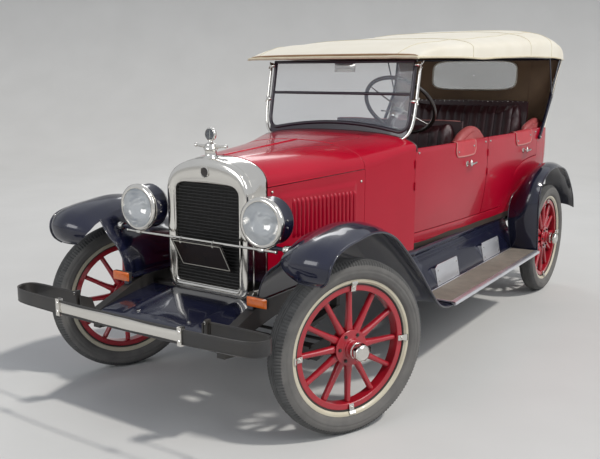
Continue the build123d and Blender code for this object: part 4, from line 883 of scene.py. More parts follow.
def plate():
    """A blank plate in a thin pale line, hung from the cross bar."""
    m = Mesh()
    top, foot = np.array((0, -207.5, 806.0)), np.array((0, -129.0, 667.5))
    down = foot - top
    tall = np.linalg.norm(down)
    out = np.cross(down / tall, X)
    half, line, near, far = 143, 4, 7 / tall, 11 / tall

    def at(x, s, lift):
        return top + (x, 0, 0) + down * s + out * lift

    for x0, x1, s0, s1, lift, depth, mat in (
            (-150, 150, 0, 1, 1, 3, 0), (-half, half, near, far, 1.8, 1, 1),
            (-half, half, 1 - far, 1 - near, 1.8, 1, 1),
            (-half, line - half, near, 1 - near, 1.8, 1, 1), (half - line, half, near, 1 - near, 1.8, 1, 1)):
        m.add([at(x, s, a) for x in (x0, x1) for s in (s0, s1) for a in (lift, lift - depth)], BOX_FACES, mat)
    for x in (-96, 96):
        m.lathe([(6, 1), (6, 3), (4, 4.4), (0, 5)], at(x, 16 / tall, 0), out, 14, 2)
        m.tube([(x, y, z) for y, z in ((-205, 800), (-203, 812), (-193, 820), (-184, 812), (-190, 803))], 2.6, 2, 8)
    m.make("plate_look", [DARK_RIM, PALE, NICKEL], "car", "plate_black", ["number_plate"])


plate()


# Bumper: sprung band with looped ends, plated strip, clamps and flat bars to the dumb irons
BAND = [(0, -712), (200, -710.5), (360, -706), (480, -700), (610, -690), (655, -680), (685, -664), (702, -640),
        (706, -612), (699, -592), (680, -577), (650, -572), (520, -571), (380, -575)]
BAND_SECTION = ((534, 0), (536, 1), (549, 1.6), (564, 1.8), (579, 1.6), (592, 1), (594, 0))
STRIP_Z, STRIP_HALF, STRIP_END = 564, 26, 360


def bumper():
    m, rows = Mesh(), []
    path = smooth_line(BAND, 110)
    for k, (x, y) in enumerate(path):
        run = path[min(len(path) - 1, k + 1)] - path[max(0, k - 1)]
        nx, ny = np.array((run[1], -run[0])) / np.linalg.norm(run)
        rows.append([(x + nx * q, y + ny * q, z) for z, q in BAND_SECTION])
    rows = np.array(rows)
    m.sheet(rows, 6)
    for edge in (0, -1):
        m.tube(rows[:, edge], 2.6, sides=8)
    for x in (352, 386):
        m.prism([(x, y, z) for y, z in ((-583, 541), (-583, 587), (-520, 560), (-494, 488), (-470, 470), (-494, 453),
                                        (-530, 492))], (8, 0, 0))
    m.block((372, 386), (-592, -566), (524, 604))
    for z in (534, 594):
        m.lathe([(7, 0), (7, 6), (5, 8), (0, 8)], (379, -592, z), -Y, 6, 1)
    m.both()
    strip = []
    for x in np.linspace(-STRIP_END, STRIP_END, 61):
        front = -712.4 + 6 * (x / STRIP_END) ** 2
        strip.append([(x, front - 3.4 * (1 - u * u), STRIP_Z + STRIP_HALF * u) for u in np.linspace(-1, 1, 11)])
    m.sheet(strip, SKIN_THICK, 1)
    for side in (1, -1):
        m.block(sorted((side * 340, side * 362)), (-714.5, -692), (526, 602), 1)
        for z in (545, 583):
            m.lathe([(9, 0), (9, 3), (6, 5), (0, 5.5)], (side * 351, -714, z), -Y, 6, 1)
    m.make("bumper_look", [BLACK, NICKEL], "car", "black_paint", ["bumper", "bumper_face"], 34)


bumper()


# Small lamps: an amber lens facing forwards, bowed out over a rounded rectangle
INDICATOR_X, INDICATOR_Z, INDICATOR_BULGE = (354, 458), (585, 626), 5


def indicators():
    m = Mesh()
    m.block(INDICATOR_X, (-284, -266), INDICATOR_Z)

    def off(value, limits):
        return abs((value - sum(limits) / 2) / ((limits[1] - limits[0]) / 2)) ** 6

    m.sheet([[(a, -285 - INDICATOR_BULGE * (1 - off(a, INDICATOR_X)) * (1 - off(b, INDICATOR_Z)), b)
              for b in np.linspace(*INDICATOR_Z, 9)] for a in np.linspace(*INDICATOR_X, 18)], -3, 1)
    for x in (380, 406, 432):
        m.block((x - 0.8, x + 0.8), (-291, -284), (590, 621), 1)
    m.prism([(356, -286, 592), (356, -266, 592), (356, -266, 575), (356, -288, 570)], (28, 0, 0), 2)
    ob = m.both().make("indicator_look", [IRON, AMBER, DARK_PAINT_SKY_REFLECTION], "car", "amber", ["small_lamps"])
    mod = ob.modifiers.new("round", "BEVEL")
    mod.width, mod.segments = 0.003, 2
    mod.limit_method, mod.angle_limit = "ANGLE", math.radians(40)


indicators()


# Aprons, hood ledges, front pan, kick plates and running boards. APRON_RUN is where the apron's edges bend
APRON_RUN = (530, 640, 1000, 2440)
# The apron's relief from its top edge to its foot: share of its height, distance outwards
APRON_RELIEF = ((0, 0), (0.02, 3), (0.05, 9), (0.085, 10), (0.11, 4), (0.125, 1), (0.17, 1), (0.18, 3), (0.19, 3),
                (0.2, 1), (0.24, 1), (0.25, 3), (0.26, 3), (0.27, 1), (0.34, 1), (0.36, 4), (0.5, 4.5), (0.8, 4.5),
                (0.9, 4), (0.93, 1), (1, 1))
LEDGE_Z, KICK_X, KICK_THICK, PAN_HALF = 606, 640, 3, 343
# The pan from the radiator to its lip, as y and z, and the running board's rounded metal edge, as x and z
PAN = [(-134, 543), (-220, 534), (-300, 524), (-380, 513), (-440, 501), (-470, 494), (-484, 486), (-490, 475)]
BOARD_EDGE = [(814, 394), (814, 397), (818, 398.5), (838, 398.5), (844, 396.5), (846, 392), (846, 381),
              (843, 378.5), (838, 379)]


def aprons():
    m, rows = Mesh(), []
    for y in (*np.linspace(530, 1000, 26), *np.linspace(1030, 2440, 40)):
        top_x = np.interp(y, APRON_RUN, (393.6, 440, 524, 540))
        low_x, low_z = np.interp(y, APRON_RUN, (552, 590, 642, 642)), np.interp(y, APRON_RUN[:3], (545, 470, 380))
        rows.append([(top_x + (low_x - top_x) * s + out, y, 605 + (low_z - 605) * s + out * 0.5)
                     for s, out in APRON_RELIEF])
    m.sheet(rows, SKIN_THICK)
    ledge = []
    for y in np.linspace(-262, 636, 50):
        inner, outer = 345 if y < 1 else hood_half(y) - 22, max(396, hood_half(y) + 26) + 8
        ledge.append([(inner, y, LEDGE_Z), ((inner + outer) / 2, y, LEDGE_Z + 0.4), (outer, y, LEDGE_Z)])
    m.sheet(ledge, -5)
    for y0, y1, cut in ((1106, 1424, 34), (1832, 2140, 12)):
        m.prism([(KICK_X, y0, 398), (622, y0, 478), (620, y0 + 8, 500), (618, y0 + cut, 512), (618, y1 - 8, 510),
                 (620, y1, 502), (KICK_X, y1, 398)], (-KICK_THICK, 0, 0), 1)
        for y in (y0, y1 - KICK_THICK):
            m.prism([(x, y, z) for x, z in ((638, 398), (620, 496), (590, 492), (626, 398))], (0, KICK_THICK, 0), 1)
        for y, z in ((y0 + 30, 480), (y1 - 24, 484), (y0 + 26, 420), (y1 - 24, 420)):
            m.lathe([(5, 1), (4, 3.4), (0, 4)], (KICK_X - (z - 398) * 0.2, y, z), (1, 0, 0.15), 12, 2)
    m.both()
    line, pan = smooth_line(PAN, 34), []
    for x in np.linspace(-PAN_HALF, PAN_HALF, 45):
        swell = 5.0 * (1 - (x / PAN_HALF) ** 2) + 3.0 * math.exp(-((abs(x) - 200) / 14) ** 2)
        pan.append([(x, y, z + swell * min(1.0, (y + 488) / 60.0 + 0.1)) for y, z in line])
    m.sheet(pan, 3)
    for x in (-150, 150):
        m.lathe([(11, 0), (11, 3), (8, 4), (8, 9), (5, 10), (0, 10)], (x, -430, 505), (0, -0.15, 1), 16, 2)
    m.make("apron_look", [DARK_PAINT_SKY_REFLECTION, ALUMINIUM, NICKEL], "car", "black_paint", ["splash_aprons"], 40)


def running_boards():
    m = Mesh()
    m.block((642, 840), (864, 2342), (380, 394))
    m.sheet([[(x, y, 394.6 + (0.9 if int(round((x - 652) / 2)) % 3 == 0 else 0.0)) for y in (866, 1400, 1900, 2342)]
             for x in np.linspace(652, 816, 83)], -1.5, 1)
    m.grid([[(x, y, z) for x, z in BOARD_EDGE] for y in (862, 1400, 1900, 2345)], 2)
    for y in (862, 2345):
        m.add([(x, y, z) for x, z in BOARD_EDGE], [tuple(range(len(BOARD_EDGE)))], 2)
    m.block((646, 654), (864, 2343), (394, 398), 2)
    m.block((646, 840), (862, 872), (392, 398), 2)
    m.both().make("board_look", [DARK_PAINT_SKY_REFLECTION, MAT, ALUMINIUM], "car", "board_mat", ["running_boards"])


aprons()
running_boards()


# Windscreen: dark frame with rounded lower corners, split panes, plated posts, clamps and a mirror
LEAN = math.atan2(77.0, 390.0)
SCREEN_Y, SCREEN_Z, SCREEN_TOP, SPLIT = 1026, 1256, 388, 207
RAIL_HALF, RAIL_BOW = 400.0, 40
# The left post as x, way up the slope, lift in front of it
SCREEN_POST = [(428, -44, 8), (440, -40, 8), (460, -22, 6), (479, 12, 3), (489, 60, 2), (493, 130, 2),
               (494, 200, 3), (494, 300, 3), (493, 372, 2), (492, 384, 2)]


def screen_at(x, s, lift=0.0):
    """A point on the leaning screen: S up its slope, LIFT in front of it."""
    return np.array((x, SCREEN_Y + s * math.sin(LEAN) - lift * math.cos(LEAN),
                     SCREEN_Z + s * math.cos(LEAN) + lift * math.sin(LEAN)))


def rail(x, xs, heights, drop=0.0):
    """How far up the slope the bottom rail is: bowed in the middle, then by its rounded corner's heights."""
    if abs(x) < RAIL_HALF:
        return RAIL_BOW * (1 - (x / RAIL_HALF) ** 2) - drop
    return float(np.interp(abs(x), xs, heights))


def windscreen():
    m, glass = Mesh(), Mesh()
    low = [(x, rail(x, (0, 1), (0, 0))) for x in np.linspace(-392, 392, 41)]
    corner = [(402, -1), (424, 2), (443, 12), (455, 30), (461, 60), (462, 120), (462, 200), (462, 300), (462, 386)]
    frame_line = [(-x, s) for x, s in reversed(corner)] + low + corner
    m.tube([screen_at(x, s) for x, s in frame_line], 11, sides=14)
    m.tube([screen_at(x, SCREEN_TOP) for x in (-470, -200, 200, 470)], 9, sides=14)
    m.tube([screen_at(x, SPLIT) for x in (-460, -200, 200, 460)], 7, sides=14, flat=1.2)
    fill = []
    for x in np.linspace(-455, 455, 61):
        s_low = (arch_height(x, *cowl_at(1022)) - SCREEN_Z) / math.cos(LEAN) - 4
        s_high = rail(x, (400, 424, 443, 455), (-1, 2, 12, 26), drop=2)
        fill.append([screen_at(x, s_low + (s_high - s_low) * t, 2) for t in (0, 0.5, 1)])
    m.sheet(fill, 5)
    for side in (1, -1):
        m.tube([screen_at(side * x, s, lift) for x, s, lift in smooth_line(SCREEN_POST, 40)], 8.5, 1, 16)
        m.lathe([(0, -8), (16, -8), (19, -4), (17, 2), (11, 6), (9, 10)], screen_at(side * 428, -44, 8),
                (side * 0.4, -0.1, 0.9), 24, 1)
        for s, grow in ((167, 1.0), (368, 1.05)):
            c = screen_at(side * 482, s, 4)
            m.lathe([(0, -19 * grow), (9, -18 * grow), (13, -13 * grow), (14, 0), (13, 13 * grow), (9, 18 * grow),
                     (0, 19 * grow)], c, X, 22, 1)
            for way in (-1, 1):
                m.tube([c + (side * 16, 0, 0), c + (side * 24, way * 5, way * 12), c + (side * 24, way * 8, way * 19)],
                       (4, 4, 5), 1)
    panes = []
    for x in np.linspace(-458, 458, 41):
        base = rail(x, (400, 424, 443, 458), (0, 3, 13, 40))
        panes.append([screen_at(x, base + (SPLIT - 4 - base) * t) for t in np.linspace(0, 1, 6)])
    glass.sheet(panes, 4)
    glass.sheet([[screen_at(x, s) for s in (SPLIT + 4, 300, SCREEN_TOP - 4)] for x in (-458, 0, 458)], 4)
    m.block((-64, 64), (1130, 1137), (1580, 1634), 1)
    m.sheet([[(x, 1130 - 4 * (1 - (x / 68) ** 4) * (1 - u * u), 1607 + 29 * u) for u in np.linspace(-1, 1, 9)]
             for x in np.linspace(-68, 68, 17)], 4, 1)
    m.block((-66, 66), (1137, 1139), (1580, 1634), 2)
    m.tube([(0, 1133, 1630), (0, 1125, 1642), (0, 1106, 1644)], 4, 1)
    m.make("windscreen_look", [PURPLE, NICKEL, MIRROR_GLASS], "car", "black_paint", ["windscreen_frame"], 40)
    glass.make("windscreen_panes", [GLASS], "car", "glass_clear", ["windscreen_glass"])


windscreen()


# Steering wheel on its column
WHEEL_HUB, COLUMN_FOOT = np.array((240.0, 1375.0, 1385.0)), np.array((240.0, 646.0, 760.0))
WHEEL_RADIUS = 215


def steering():
    hub = WHEEL_HUB
    axis = (hub - COLUMN_FOOT) / np.linalg.norm(hub - COLUMN_FOOT)
    w = np.cross(axis, X)
    m = Mesh()
    m.tube([hub + WHEEL_RADIUS * (X * math.cos(a) + w * math.sin(a)) for a in np.linspace(0, TURN, 72, endpoint=False)],
           12, sides=16, closed=True, up=axis)
    for a in (45, 135, 225, 315):
        out = X * math.cos(math.radians(a)) + w * math.sin(math.radians(a))
        pts = [hub - axis * 14 + out * 20, hub - axis * 12 + out * 90, hub - axis * 3 + out * 190, hub + out * 207]
        m.tube(smooth_line(pts, 14), np.linspace(8, 5.5, 14), 1, sides=12, flat=0.6)
    m.lathe([(34, -44), (34, -24), (30, -16), (30, 0), (27, 5), (20, 8), (0, 9)], hub, axis, 36, 1)
    m.lathe([(17, 8), (17, 13), (14, 16), (0, 17)], hub, axis, 28)
    m.make("steering_wheel_look", [DARK_RIM, NICKEL], "steering_wheel", "black_paint", ["steering_wheel"])
    c = Mesh()
    top = hub - axis * 45.6
    c.tube([hub - axis * 790, hub - axis * 400, top], 19, sides=20)
    c.lathe([(21, -60), (24, -56), (24, -30), (21, -26)], top, axis, 24, 1)
    for side in (1, -1):
        c.tube([top - axis * 8, top - axis * 6 + X * side * 60, top - axis * 2 + X * side * 96], (4, 3.4, 4), 1)
        c.lathe([(0, -7), (7, 0), (0, 7)], top - axis * 2 + X * side * 99, axis, 12)
    c.make("steering_column_look", [DARK_RIM, NICKEL], "car", "black_paint", ["steering_column"])


steering()


# The raised top: one stretched sheet over its bows that rolls down at the rear, and a curtain round its
# window. Each station of the roof: y, half width, hem, shoulder, crown
ROOF = ((936, 548, 1648, 1682, 1742), (1250, 582, 1656, 1694, 1756), (1559, 612, 1662, 1702, 1780),
        (2020, 643, 1672, 1712, 1824), (2483, 668, 1682, 1722, 1866), (2700, 682, 1687, 1727, 1888),
        (2870, 690, 1692, 1732, 1896), (3010, 692, 1696, 1736, 1880), (3120, 690, 1698, 1738, 1846))
ROOF_FRONT, ROOF_REAR, ROOF_ROWS, ROLL_ROWS, ROLL_DEPTH = 936, 3120, 92, 19, 84
BOWS = (955, 1559, 2483, 2870, 3110)
BOXY, SEAM_COLS, CLOTH = 0.6, (16, 42), 4
# The rear window and the curtain: the height of their middle, and half their width and height
WINDOW_Z, WINDOW_HALF, CURTAIN_Z, CURTAIN_HALF_HIGH = 1571, (350, 112), 1440, 256
CURTAIN_ENDS, CURTAIN_HALF_WIDE, CURTAIN_AT = (1183, 1697), (522, 682), (3160, 3199)


def roof_section(y, grow=0.0):
    """The roof's whole cross-section at Y, from hem to hem; it flattens towards the front header."""
    half, hem, shoulder, crown = (along(ROOF, y, k) + (0 if k == 2 else grow) for k in (1, 2, 3, 4))
    nose = 0.1 + 0.9 * math.sin(QUARTER * min(1.0, (y - ROOF_FRONT) / 330.0)) ** 0.8
    shoulder, crown = hem + (shoulder - hem) * nose, hem + (crown - hem) * nose
    line = [(half, hem), (half + 0.6, (hem + shoulder) / 2)]
    line += [(half * max(0.0, math.cos(a)) ** BOXY, shoulder + (crown - shoulder) * math.sin(a) ** BOXY)
             for a in np.linspace(0, QUARTER, 26)]
    return np.array(line + [(-x, z) for x, z in reversed(line[:-1])])


def top_cover():
    rows = []
    for y in np.linspace(ROOF_FRONT, ROOF_REAR, ROOF_ROWS):
        x, z = roof_section(y).T
        over = np.sin(math.pi * np.linspace(0, 1, len(x)))
        slack = min(1.0, min(abs(y - b) for b in BOWS) / 170.0) ** 2 * (0.2 if y > 2870 else 1.0)
        wave = 1.2 * np.sin(y * 0.031 + 9 * over) * np.sin(np.linspace(0, 38, len(x))) * over
        edge = (1 - over) ** 3 * sum(deep * math.exp(-((y - at) / wide) ** 2) for deep, at, wide in (
            (7, 1700, 170), (-6, 2450, 300), (8, ROOF_REAR, 140)))
        rows.append(np.stack([x, np.full(len(x), y), z - 7.0 * slack * over ** 0.5 + wave - edge], 1))
    last, hem = rows[-1], rows[-1][0, 2]
    for a in np.linspace(0, QUARTER, ROLL_ROWS)[1:]:
        high = hem + (last[:, 2] - hem) * math.cos(a) ** 0.62 - 5 * math.sin(a)
        rows.append(np.stack([last[:, 0], last[:, 1] + ROLL_DEPTH * math.sin(a), high], 1))
    rows = np.array(rows)
    m, trim = Mesh(), Mesh()
    m.sheet(rows, CLOTH, 0, back=1)
    cover = m.make("top_cover", [CANVAS, LINING], "car", "canvas", ["top_canvas"], 60)
    for edge in (0, -1):
        trim.tube(rows[:ROOF_ROWS, edge] + (0, 0, 3), 5.5)
    trim.tube(rows[0] + (0, 2, -2), 8.0, sides=12)
    trim.tube(rows[-1] + (0, 0, 2), 5.0)
    for y in BOWS[1:4]:
        trim.tube(rows[int(round((y - ROOF_FRONT) / 24))] + ABOVE, 2.2, sides=6)
    for col in SEAM_COLS:
        trim.tube(rows[:, col] + (0, 0, 0.6), 2.0, sides=6)
    band = trim.make("top_binding", [BINDING], "car", "canvas")


def curtain_y(z):
    return np.interp(z, (1181, 1697), CURTAIN_AT)


def curtain():
    """Rings of points from the window's edge out to the curtain's own edge, drawn on both faces."""
    rings = []
    for share in np.linspace(0, 1, 16):
        ring = []
        for a in np.linspace(0, TURN, 96, endpoint=False):
            c, s = math.cos(a), math.sin(a)
            near, far = 1 / (abs(c) ** 5 + abs(s) ** 5) ** 0.2, 1 / max(abs(c), abs(s))
            inner = np.array((WINDOW_HALF[0] * c * near, WINDOW_Z + WINDOW_HALF[1] * s * near))
            z = CURTAIN_Z + CURTAIN_HALF_HIGH * s * far
            outer = np.array((float(np.interp(z, CURTAIN_ENDS, CURTAIN_HALF_WIDE)) * c * far, z))
            x, z = inner + (outer - inner) * share
            soft = 4 * share * (1 - share)
            ring.append((x, curtain_y(z) + 1.8 * math.sin(x * 0.021 + z * 0.013) * soft, z))
        rings.append(ring)
    rings = np.array(rings)
    m, trim, pane = Mesh(), Mesh(), Mesh()
    m.sheet(rings.transpose(1, 0, 2), CLOTH, 0, back=1, close_u=True)
    sheet = m.make("rear_curtain", [CANVAS, LINING], "car", "canvas", angle=60)
    for lift in (-6, 2):
        trim.tube(rings[0] + (0, lift, 0), 8, closed=True, flat=0.6)
    for x in (-455, 455):
        trim.tube([(x, curtain_y(z) - 5, z) for z in np.linspace(1192, 1690, 12)], 2.4, 1, sides=6)
    band = trim.make("window_binding", [CANVAS, LINING], "car", "canvas")
    shrunk = [[(x * k, curtain_y(WINDOW_Z + (z - WINDOW_Z) * k) - 3, WINDOW_Z + (z - WINDOW_Z) * k)
               for x, _, z in rings[0]] for k in (1.0, 0.5, 0.02)]
    pane.sheet([row + row[:1] for row in shrunk], 0.8)
    pane.make("rear_window_pane", [CELLULOID], "car", "celluloid", ["rear_window"])


def bows():
    m = Mesh()
    for y in BOWS:
        full = roof_section(y, -17.0)
        full[[0, -1], 1] += 14
        m.tube([(x, y, z) for x, z in full], 13, sides=12, flat=0.7)
    for side in (1, -1):
        def at(x, y, z):
            return np.array((side * x, y, z), float)
        pivot, knee, corner, rear = at(649, 2857, 1130), at(650, 3086, 1436), at(672, 3176, 1690), at(658, 2966, 1692)
        m.tube([pivot, (pivot + knee) / 2 + (side * 2, 0, 0), knee], 12, 1, sides=12, flat=0.6)
        m.tube([knee, corner], 11, 1, sides=12, flat=0.6)
        m.tube([pivot + (side * 2, 28, 16), knee + (side * 3, 27, -20), corner + (side * 3, 14, -20)], 5.5, 2, flat=0.6)
        m.tube([knee, rear], 7.5, 1, sides=12, flat=0.6)
        m.tube(smooth_line([rear, at(650, 2483, 1684), at(594, 1559, 1664), at(532, 960, 1660)], 40), 5, 1)
        for p, r in ((knee, 14), (pivot, 17)):
            m.lathe([(0, -10), (r - 4, -9), (r, -5), (r, 5), (r - 4, 9), (0, 10)], p, X, 24, 1)
            m.lathe([(7, 9), (6, 13), (0, 14)], p, (side, 0, 0), 16, 2)
        m.tube([at(622, 2857, 1130), pivot], 11, 1, 16)
    m.tube([(-672, 3182, 1690), (672, 3182, 1690)], 8, 1, 12)
    m.make("bows_and_irons", [WOOD, DARK_PAINT_SKY_REFLECTION, NICKEL], "car", "iron", ["top_bows"], 35)


def curtain_wings():
    """The curtain wraps forwards round the tail on each side, up to the irons."""
    foot = smooth_line([(522, 3161, 1186), (582, 3142, 1186), (617, 3098, 1187), (630, 3040, 1188),
                        (634, 2940, 1190)], 24)
    head = np.linspace((684, 3195, 1690), (688, 3186, 1690), 24)
    s, rows = np.linspace(0, 1, 24)[:, None], []
    for t in np.linspace(0, 1, 22):
        up = t * (1 - s) + np.array([np.interp(t, (0, 0.5, 1), (0, middle, 1)) for middle in (0.25, 0.62, 0.5)]) * s
        rows.append(foot * (1 - up) + head * up)
    rows = np.array(rows)
    for name, side in SIDES:
        wing = Mesh()
        wing.sheet(rows * (side, 1, 1), 3 * side, 0, back=1)
        ob = wing.make(f"rear_curtain_{name}_wing", [CANVAS, LINING], "car", "canvas", angle=60)


bows()
top_cover()
curtain()
curtain_wings()


# Seats: pads that swell between their seams, on plain bases. LOOP_POINTS is how many points each ring has
LOOP_POINTS, RING_PITCH, PLEAT_DEPTH, SIDE_MARGIN = 72, 6, 0.012, 0.03
UP, BACK = (0, -0.3, 1), (0, -1, 0.2)
# Each pad: half width, how long its ends taper, pleat spacing, the side that is sat on, voxel, fill, loop (y, z)
PADS = {
    "front_cushion": (446, 50, 76, UP, 0.009, 0.8, (
        (1446, 876), (1440, 905), (1452, 928), (1510, 934), (1600, 924), (1680, 912), (1696, 900), (1692, 882),
        (1600, 872), (1510, 872))),
    "front_backrest": (440, 60, 66, BACK, 0.009, 0.85, (
        (1722, 925), (1736, 1000), (1752, 1110), (1764, 1200), (1774, 1246), (1790, 1268), (1812, 1268),
        (1828, 1248), (1830, 1225), (1822, 1140), (1808, 1000), (1796, 922), (1760, 912))),
    "rear_cushion": (480, 50, 80, UP, 0.010, 0.8, (
        (2470, 884), (2466, 920), (2478, 944), (2540, 950), (2700, 932), (2850, 918), (2868, 902), (2864, 888),
        (2700, 880), (2540, 880))),
    "rear_backrest": (478, 60, 66, BACK, 0.010, 0.85, (
        (2902, 935), (2922, 1020), (2960, 1160), (2988, 1280), (3002, 1335), (3022, 1362), (3044, 1362),
        (3056, 1340), (3056, 1290), (3042, 1180), (3014, 1010), (2996, 930), (2950, 922)))}
# Each base: half width, outline (y, z)
BASES = {
    "front_seat": (456, ((1456, 640), (1446, 858), (1790, 862), (1818, 1170), (1826, 1278), (1846, 1278),
                         (1846, 1228), (1798, 640))),
    "rear_seat": (490, ((2474, 640), (2464, 866), (2998, 872), (3034, 1270), (3046, 1376), (3066, 1376),
                        (3062, 1270), (2988, 640)))}


def pad(name, half, ends, seam_pitch, sitter, voxel, fill, loop):
    """A side-view loop swept across the car, puffed up as leather and then sewn into pleats."""
    base = smooth_line(list(loop) + [loop[0]], LOOP_POINTS + 1)[:-1]
    centre, rings = base.mean(axis=0), []
    for x in np.linspace(-half, half, int(half / RING_PITCH)):
        inset = 0.0 if half - abs(x) > ends else 1 - (1 - (1 - (half - abs(x)) / ends) ** 2.4) ** 0.5
        rings.append([(x, y, z) for y, z in centre + (base - centre) * (1 - 0.8 * inset)])
    m = Mesh()
    m.grid(rings, close_v=True)
    for k in (0, len(rings) - 1):
        m.f.append(tuple(range(k * LOOP_POINTS, (k + 1) * LOOP_POINTS)))
        m.m.append(0)
    ob = m.make(name, [LEATHER], "car", "maroon_leather", angle=70)
    puff(ob, voxel)
    points = ob.data.vertices
    co, no = np.empty(len(points) * 3), np.empty(len(points) * 3)
    points.foreach_get("co", co)
    points.foreach_get("normal", no)
    co, no = co.reshape(-1, 3), no.reshape(-1, 3)
    facing = np.clip(no @ np.array(sitter) * 1.6 + 0.1, 0, 1)
    inside = np.clip((half / 1000 - SIDE_MARGIN - np.abs(co[:, 0])) / SIDE_MARGIN, 0, 1)
    seam = 1 - np.abs(np.sin(math.pi * co[:, 0] / seam_pitch * 1000)) ** 0.6
    co -= no * (PLEAT_DEPTH * seam * facing * inside)[:, None]
    points.foreach_set("co", co.ravel())
    ob.data.update()


def puff(ob, voxel, pressure=4.0, cap=0.022, frames=20):
    """Swells a pad by cloth simulation: no point ends further than CAP from where it began."""
    bpy.context.view_layer.objects.active = ob
    ob.select_set(True)
    even = ob.modifiers.new("even", "REMESH")
    even.mode, even.voxel_size = "VOXEL", voxel
    bpy.ops.object.modifier_apply(modifier=even.name)
    start = np.empty(len(ob.data.vertices) * 3)
    ob.data.vertices.foreach_get("co", start)
    cloth = ob.modifiers.new("leather", "CLOTH")
    cloth.settings.use_pressure = True
    cloth.settings.uniform_pressure_force = pressure
    cloth.settings.effector_weights.gravity = 0
    cloth.settings.quality = 4
    for number in range(1, frames + 1):
        bpy.context.scene.frame_set(number)
    end = np.empty(len(start))
    ob.evaluated_get(bpy.context.evaluated_depsgraph_get()).data.vertices.foreach_get("co", end)
    move = (end - start).reshape(-1, 3)
    move *= np.minimum(1.0, cap / np.maximum(np.linalg.norm(move, axis=1, keepdims=True), 1e-9))
    ob.modifiers.remove(cloth)
    bpy.context.scene.frame_set(1)
    ob.data.vertices.foreach_set("co", (start.reshape(-1, 3) + move).ravel())
    finer = ob.modifiers.new("finer", "SUBSURF")
    finer.levels = finer.render_levels = 1
    bpy.ops.object.modifier_apply(modifier=finer.name)
    ob.select_set(False)
    for poly in ob.data.polygons:
        poly.use_smooth = True


for node, (half, outline) in BASES.items():
    m = Mesh()
    m.prism([(-half, y, z) for y, z in outline], (2 * half, 0, 0))
    m.make(f"{node}_base", [LEATHER], "car", "maroon_leather", [node])
for name, values in PADS.items():
    pad(name, *values)


# Rolled leather ends beside both seats, with a welt round their crease.
# Each: seat, x, radius, foot, the roll's line (y, z), its crease (y, z)
ROLLS = (("front", 521, 33, 1090, ((1546, 1096), (1562, 1134), (1612, 1172), (1690, 1204), (1780, 1222),
                                   (1860, 1214), (1926, 1184), (1954, 1140), (1956, 1096)),
          ((1728, 1128), (1742, 1160), (1790, 1180), (1850, 1176), (1880, 1152), (1876, 1128))),
         ("rear", 557, 30, 1146, ((2736, 1156), (2790, 1184), (2870, 1204), (2960, 1222), (3040, 1226),
                                  (3092, 1210), (3110, 1176), (3106, 1146)),
          ((2980, 1168), (3000, 1186), (3040, 1194), (3070, 1180), (3074, 1160))))


def seat_ends():
    welts, steps = Mesh(), 44
    for name, x, wide, low_z, path, crease in ROLLS:
        line = smooth_line([(x, y, z) for y, z in path], steps)
        fat = 1 - 0.75 * np.abs(np.linspace(-1, 1, steps)) ** 6
        low, high = np.array([(x + 4, y, low_z) for _, y, _ in line]), line + (10, 0, -4)
        web = np.array([low + (high - low) * t + (9 * math.sin(math.pi * t), 0, 0) for t in np.linspace(0, 1, 9)])
        hook = smooth_line([(x + 23, y, z) for y, z in crease], 24)
        for word, side in SIDES:
            roll = Mesh()
            roll.tube(line * (side, 1, 1), wide * fat, sides=24)
            roll.sheet(web * (side, 1, 1), 30 * side)
            # The rolls are in the leather painted lighter, as if sunlit.
            roll.make(f"{name}_seat_end_{word}", [LEATHER_PAINTED_LIT], "car", "maroon_leather", angle=70)
            welts.tube(hook * (side, 1, 1), 6 * np.sin(np.linspace(0.25, 2.9, 24)), 1, 8)
            welts.tube(line[2:-2] * (side, 1, 1) + (side * wide * 0.92, 0, -2), 3.0, sides=8)
    for y, z, half, kind in ((1834, 1279, 440, 0), (3054, 1377, 480, 1)):
        welts.tube([(x, y, z + 2 * math.cos(x * 0.02)) for x in np.linspace(-half, half, 40)], 3.4, kind, 8)
    for x in np.linspace(-455, 455, 24):
        welts.lathe([(4.5, 0), (3.6, 2.4), (0, 3.4)], (x, 3044, 1374), (0, -1, 0.3), 10, 2)
    welts.make("seat_welts", [PIPING, LEATHER, NICKEL], "car", "maroon_leather")


seat_ends()

# Spare tyre on its carrier behind the body
SPARE_Y, SPARE_Z = 3298.0, 770.0
# The spare's tread is also in rubber painted darker as shade.
tyre_mesh().moved(lambda v: np.stack([v[:, 1], v[:, 0] + SPARE_Y, v[:, 2] + SPARE_Z], 1)).make(
    "spare_tyre_look", [RUBBER, TREAD_PAINTED_SHADE], "car", "tyre_rubber", ["spare_tyre"], 28)

# Finishes for the pieces that keep their CAD form
# The floor boards take the near-black painted shade.
for finish, nodes in ((BLACK, ("chassis_frame", "front_axle", "rear_axle", "fuel_tank", "knuckle_left",
                               "knuckle_right", "tie_rod")),
                      (IRON, ("leaf_springs", "engine_block", "exhaust")), (FLOOR_PAINTED_SHADE, ("floor_boards",)),
                      (CREAM, ("spare_carrier",))):
    for node in nodes:
        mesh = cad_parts[node].data
        mesh.materials.clear()
        mesh.materials.append(finish)


# Floor, backdrop, light and camera, in metres
FLOOR_HALF, FLOOR_NEAR, FLOOR_FAR, SWEEP, WALL, FLOOR_TURN = 26.0, -16.0, 8.0, 4.0, 9.0, 33
SUN_SPREAD, AREA_SHAPE = 4, 0.7
AIR, AIR_LIGHT, BACKDROP = (0.75, 0.82, 0.95, 1), 0.32, (0.62, 0.64, 0.67, 1)
# Each lamp: name, kind, place, aim, strength, size, colour
LAMPS = (("sun_key", "SUN", (5.0, 0.5, 7.5), (0, 0, 0), 1.9, 0, (1.0, 0.96, 0.90)),
         ("sky_left", "AREA", (6.5, -1.0, 5.0), (0, 0, 0.8), 170, 5.0, (1, 1, 1)),
         ("front_fill", "AREA", (-1.5, -8.0, 3.5), (0, -1.0, 0.8), 150, 4.0, (1, 1, 1)),
         ("rear_rim", "AREA", (-4.0, 6.0, 5.5), (0, 0.5, 1.0), 120, 4.0, (1, 1, 1)))
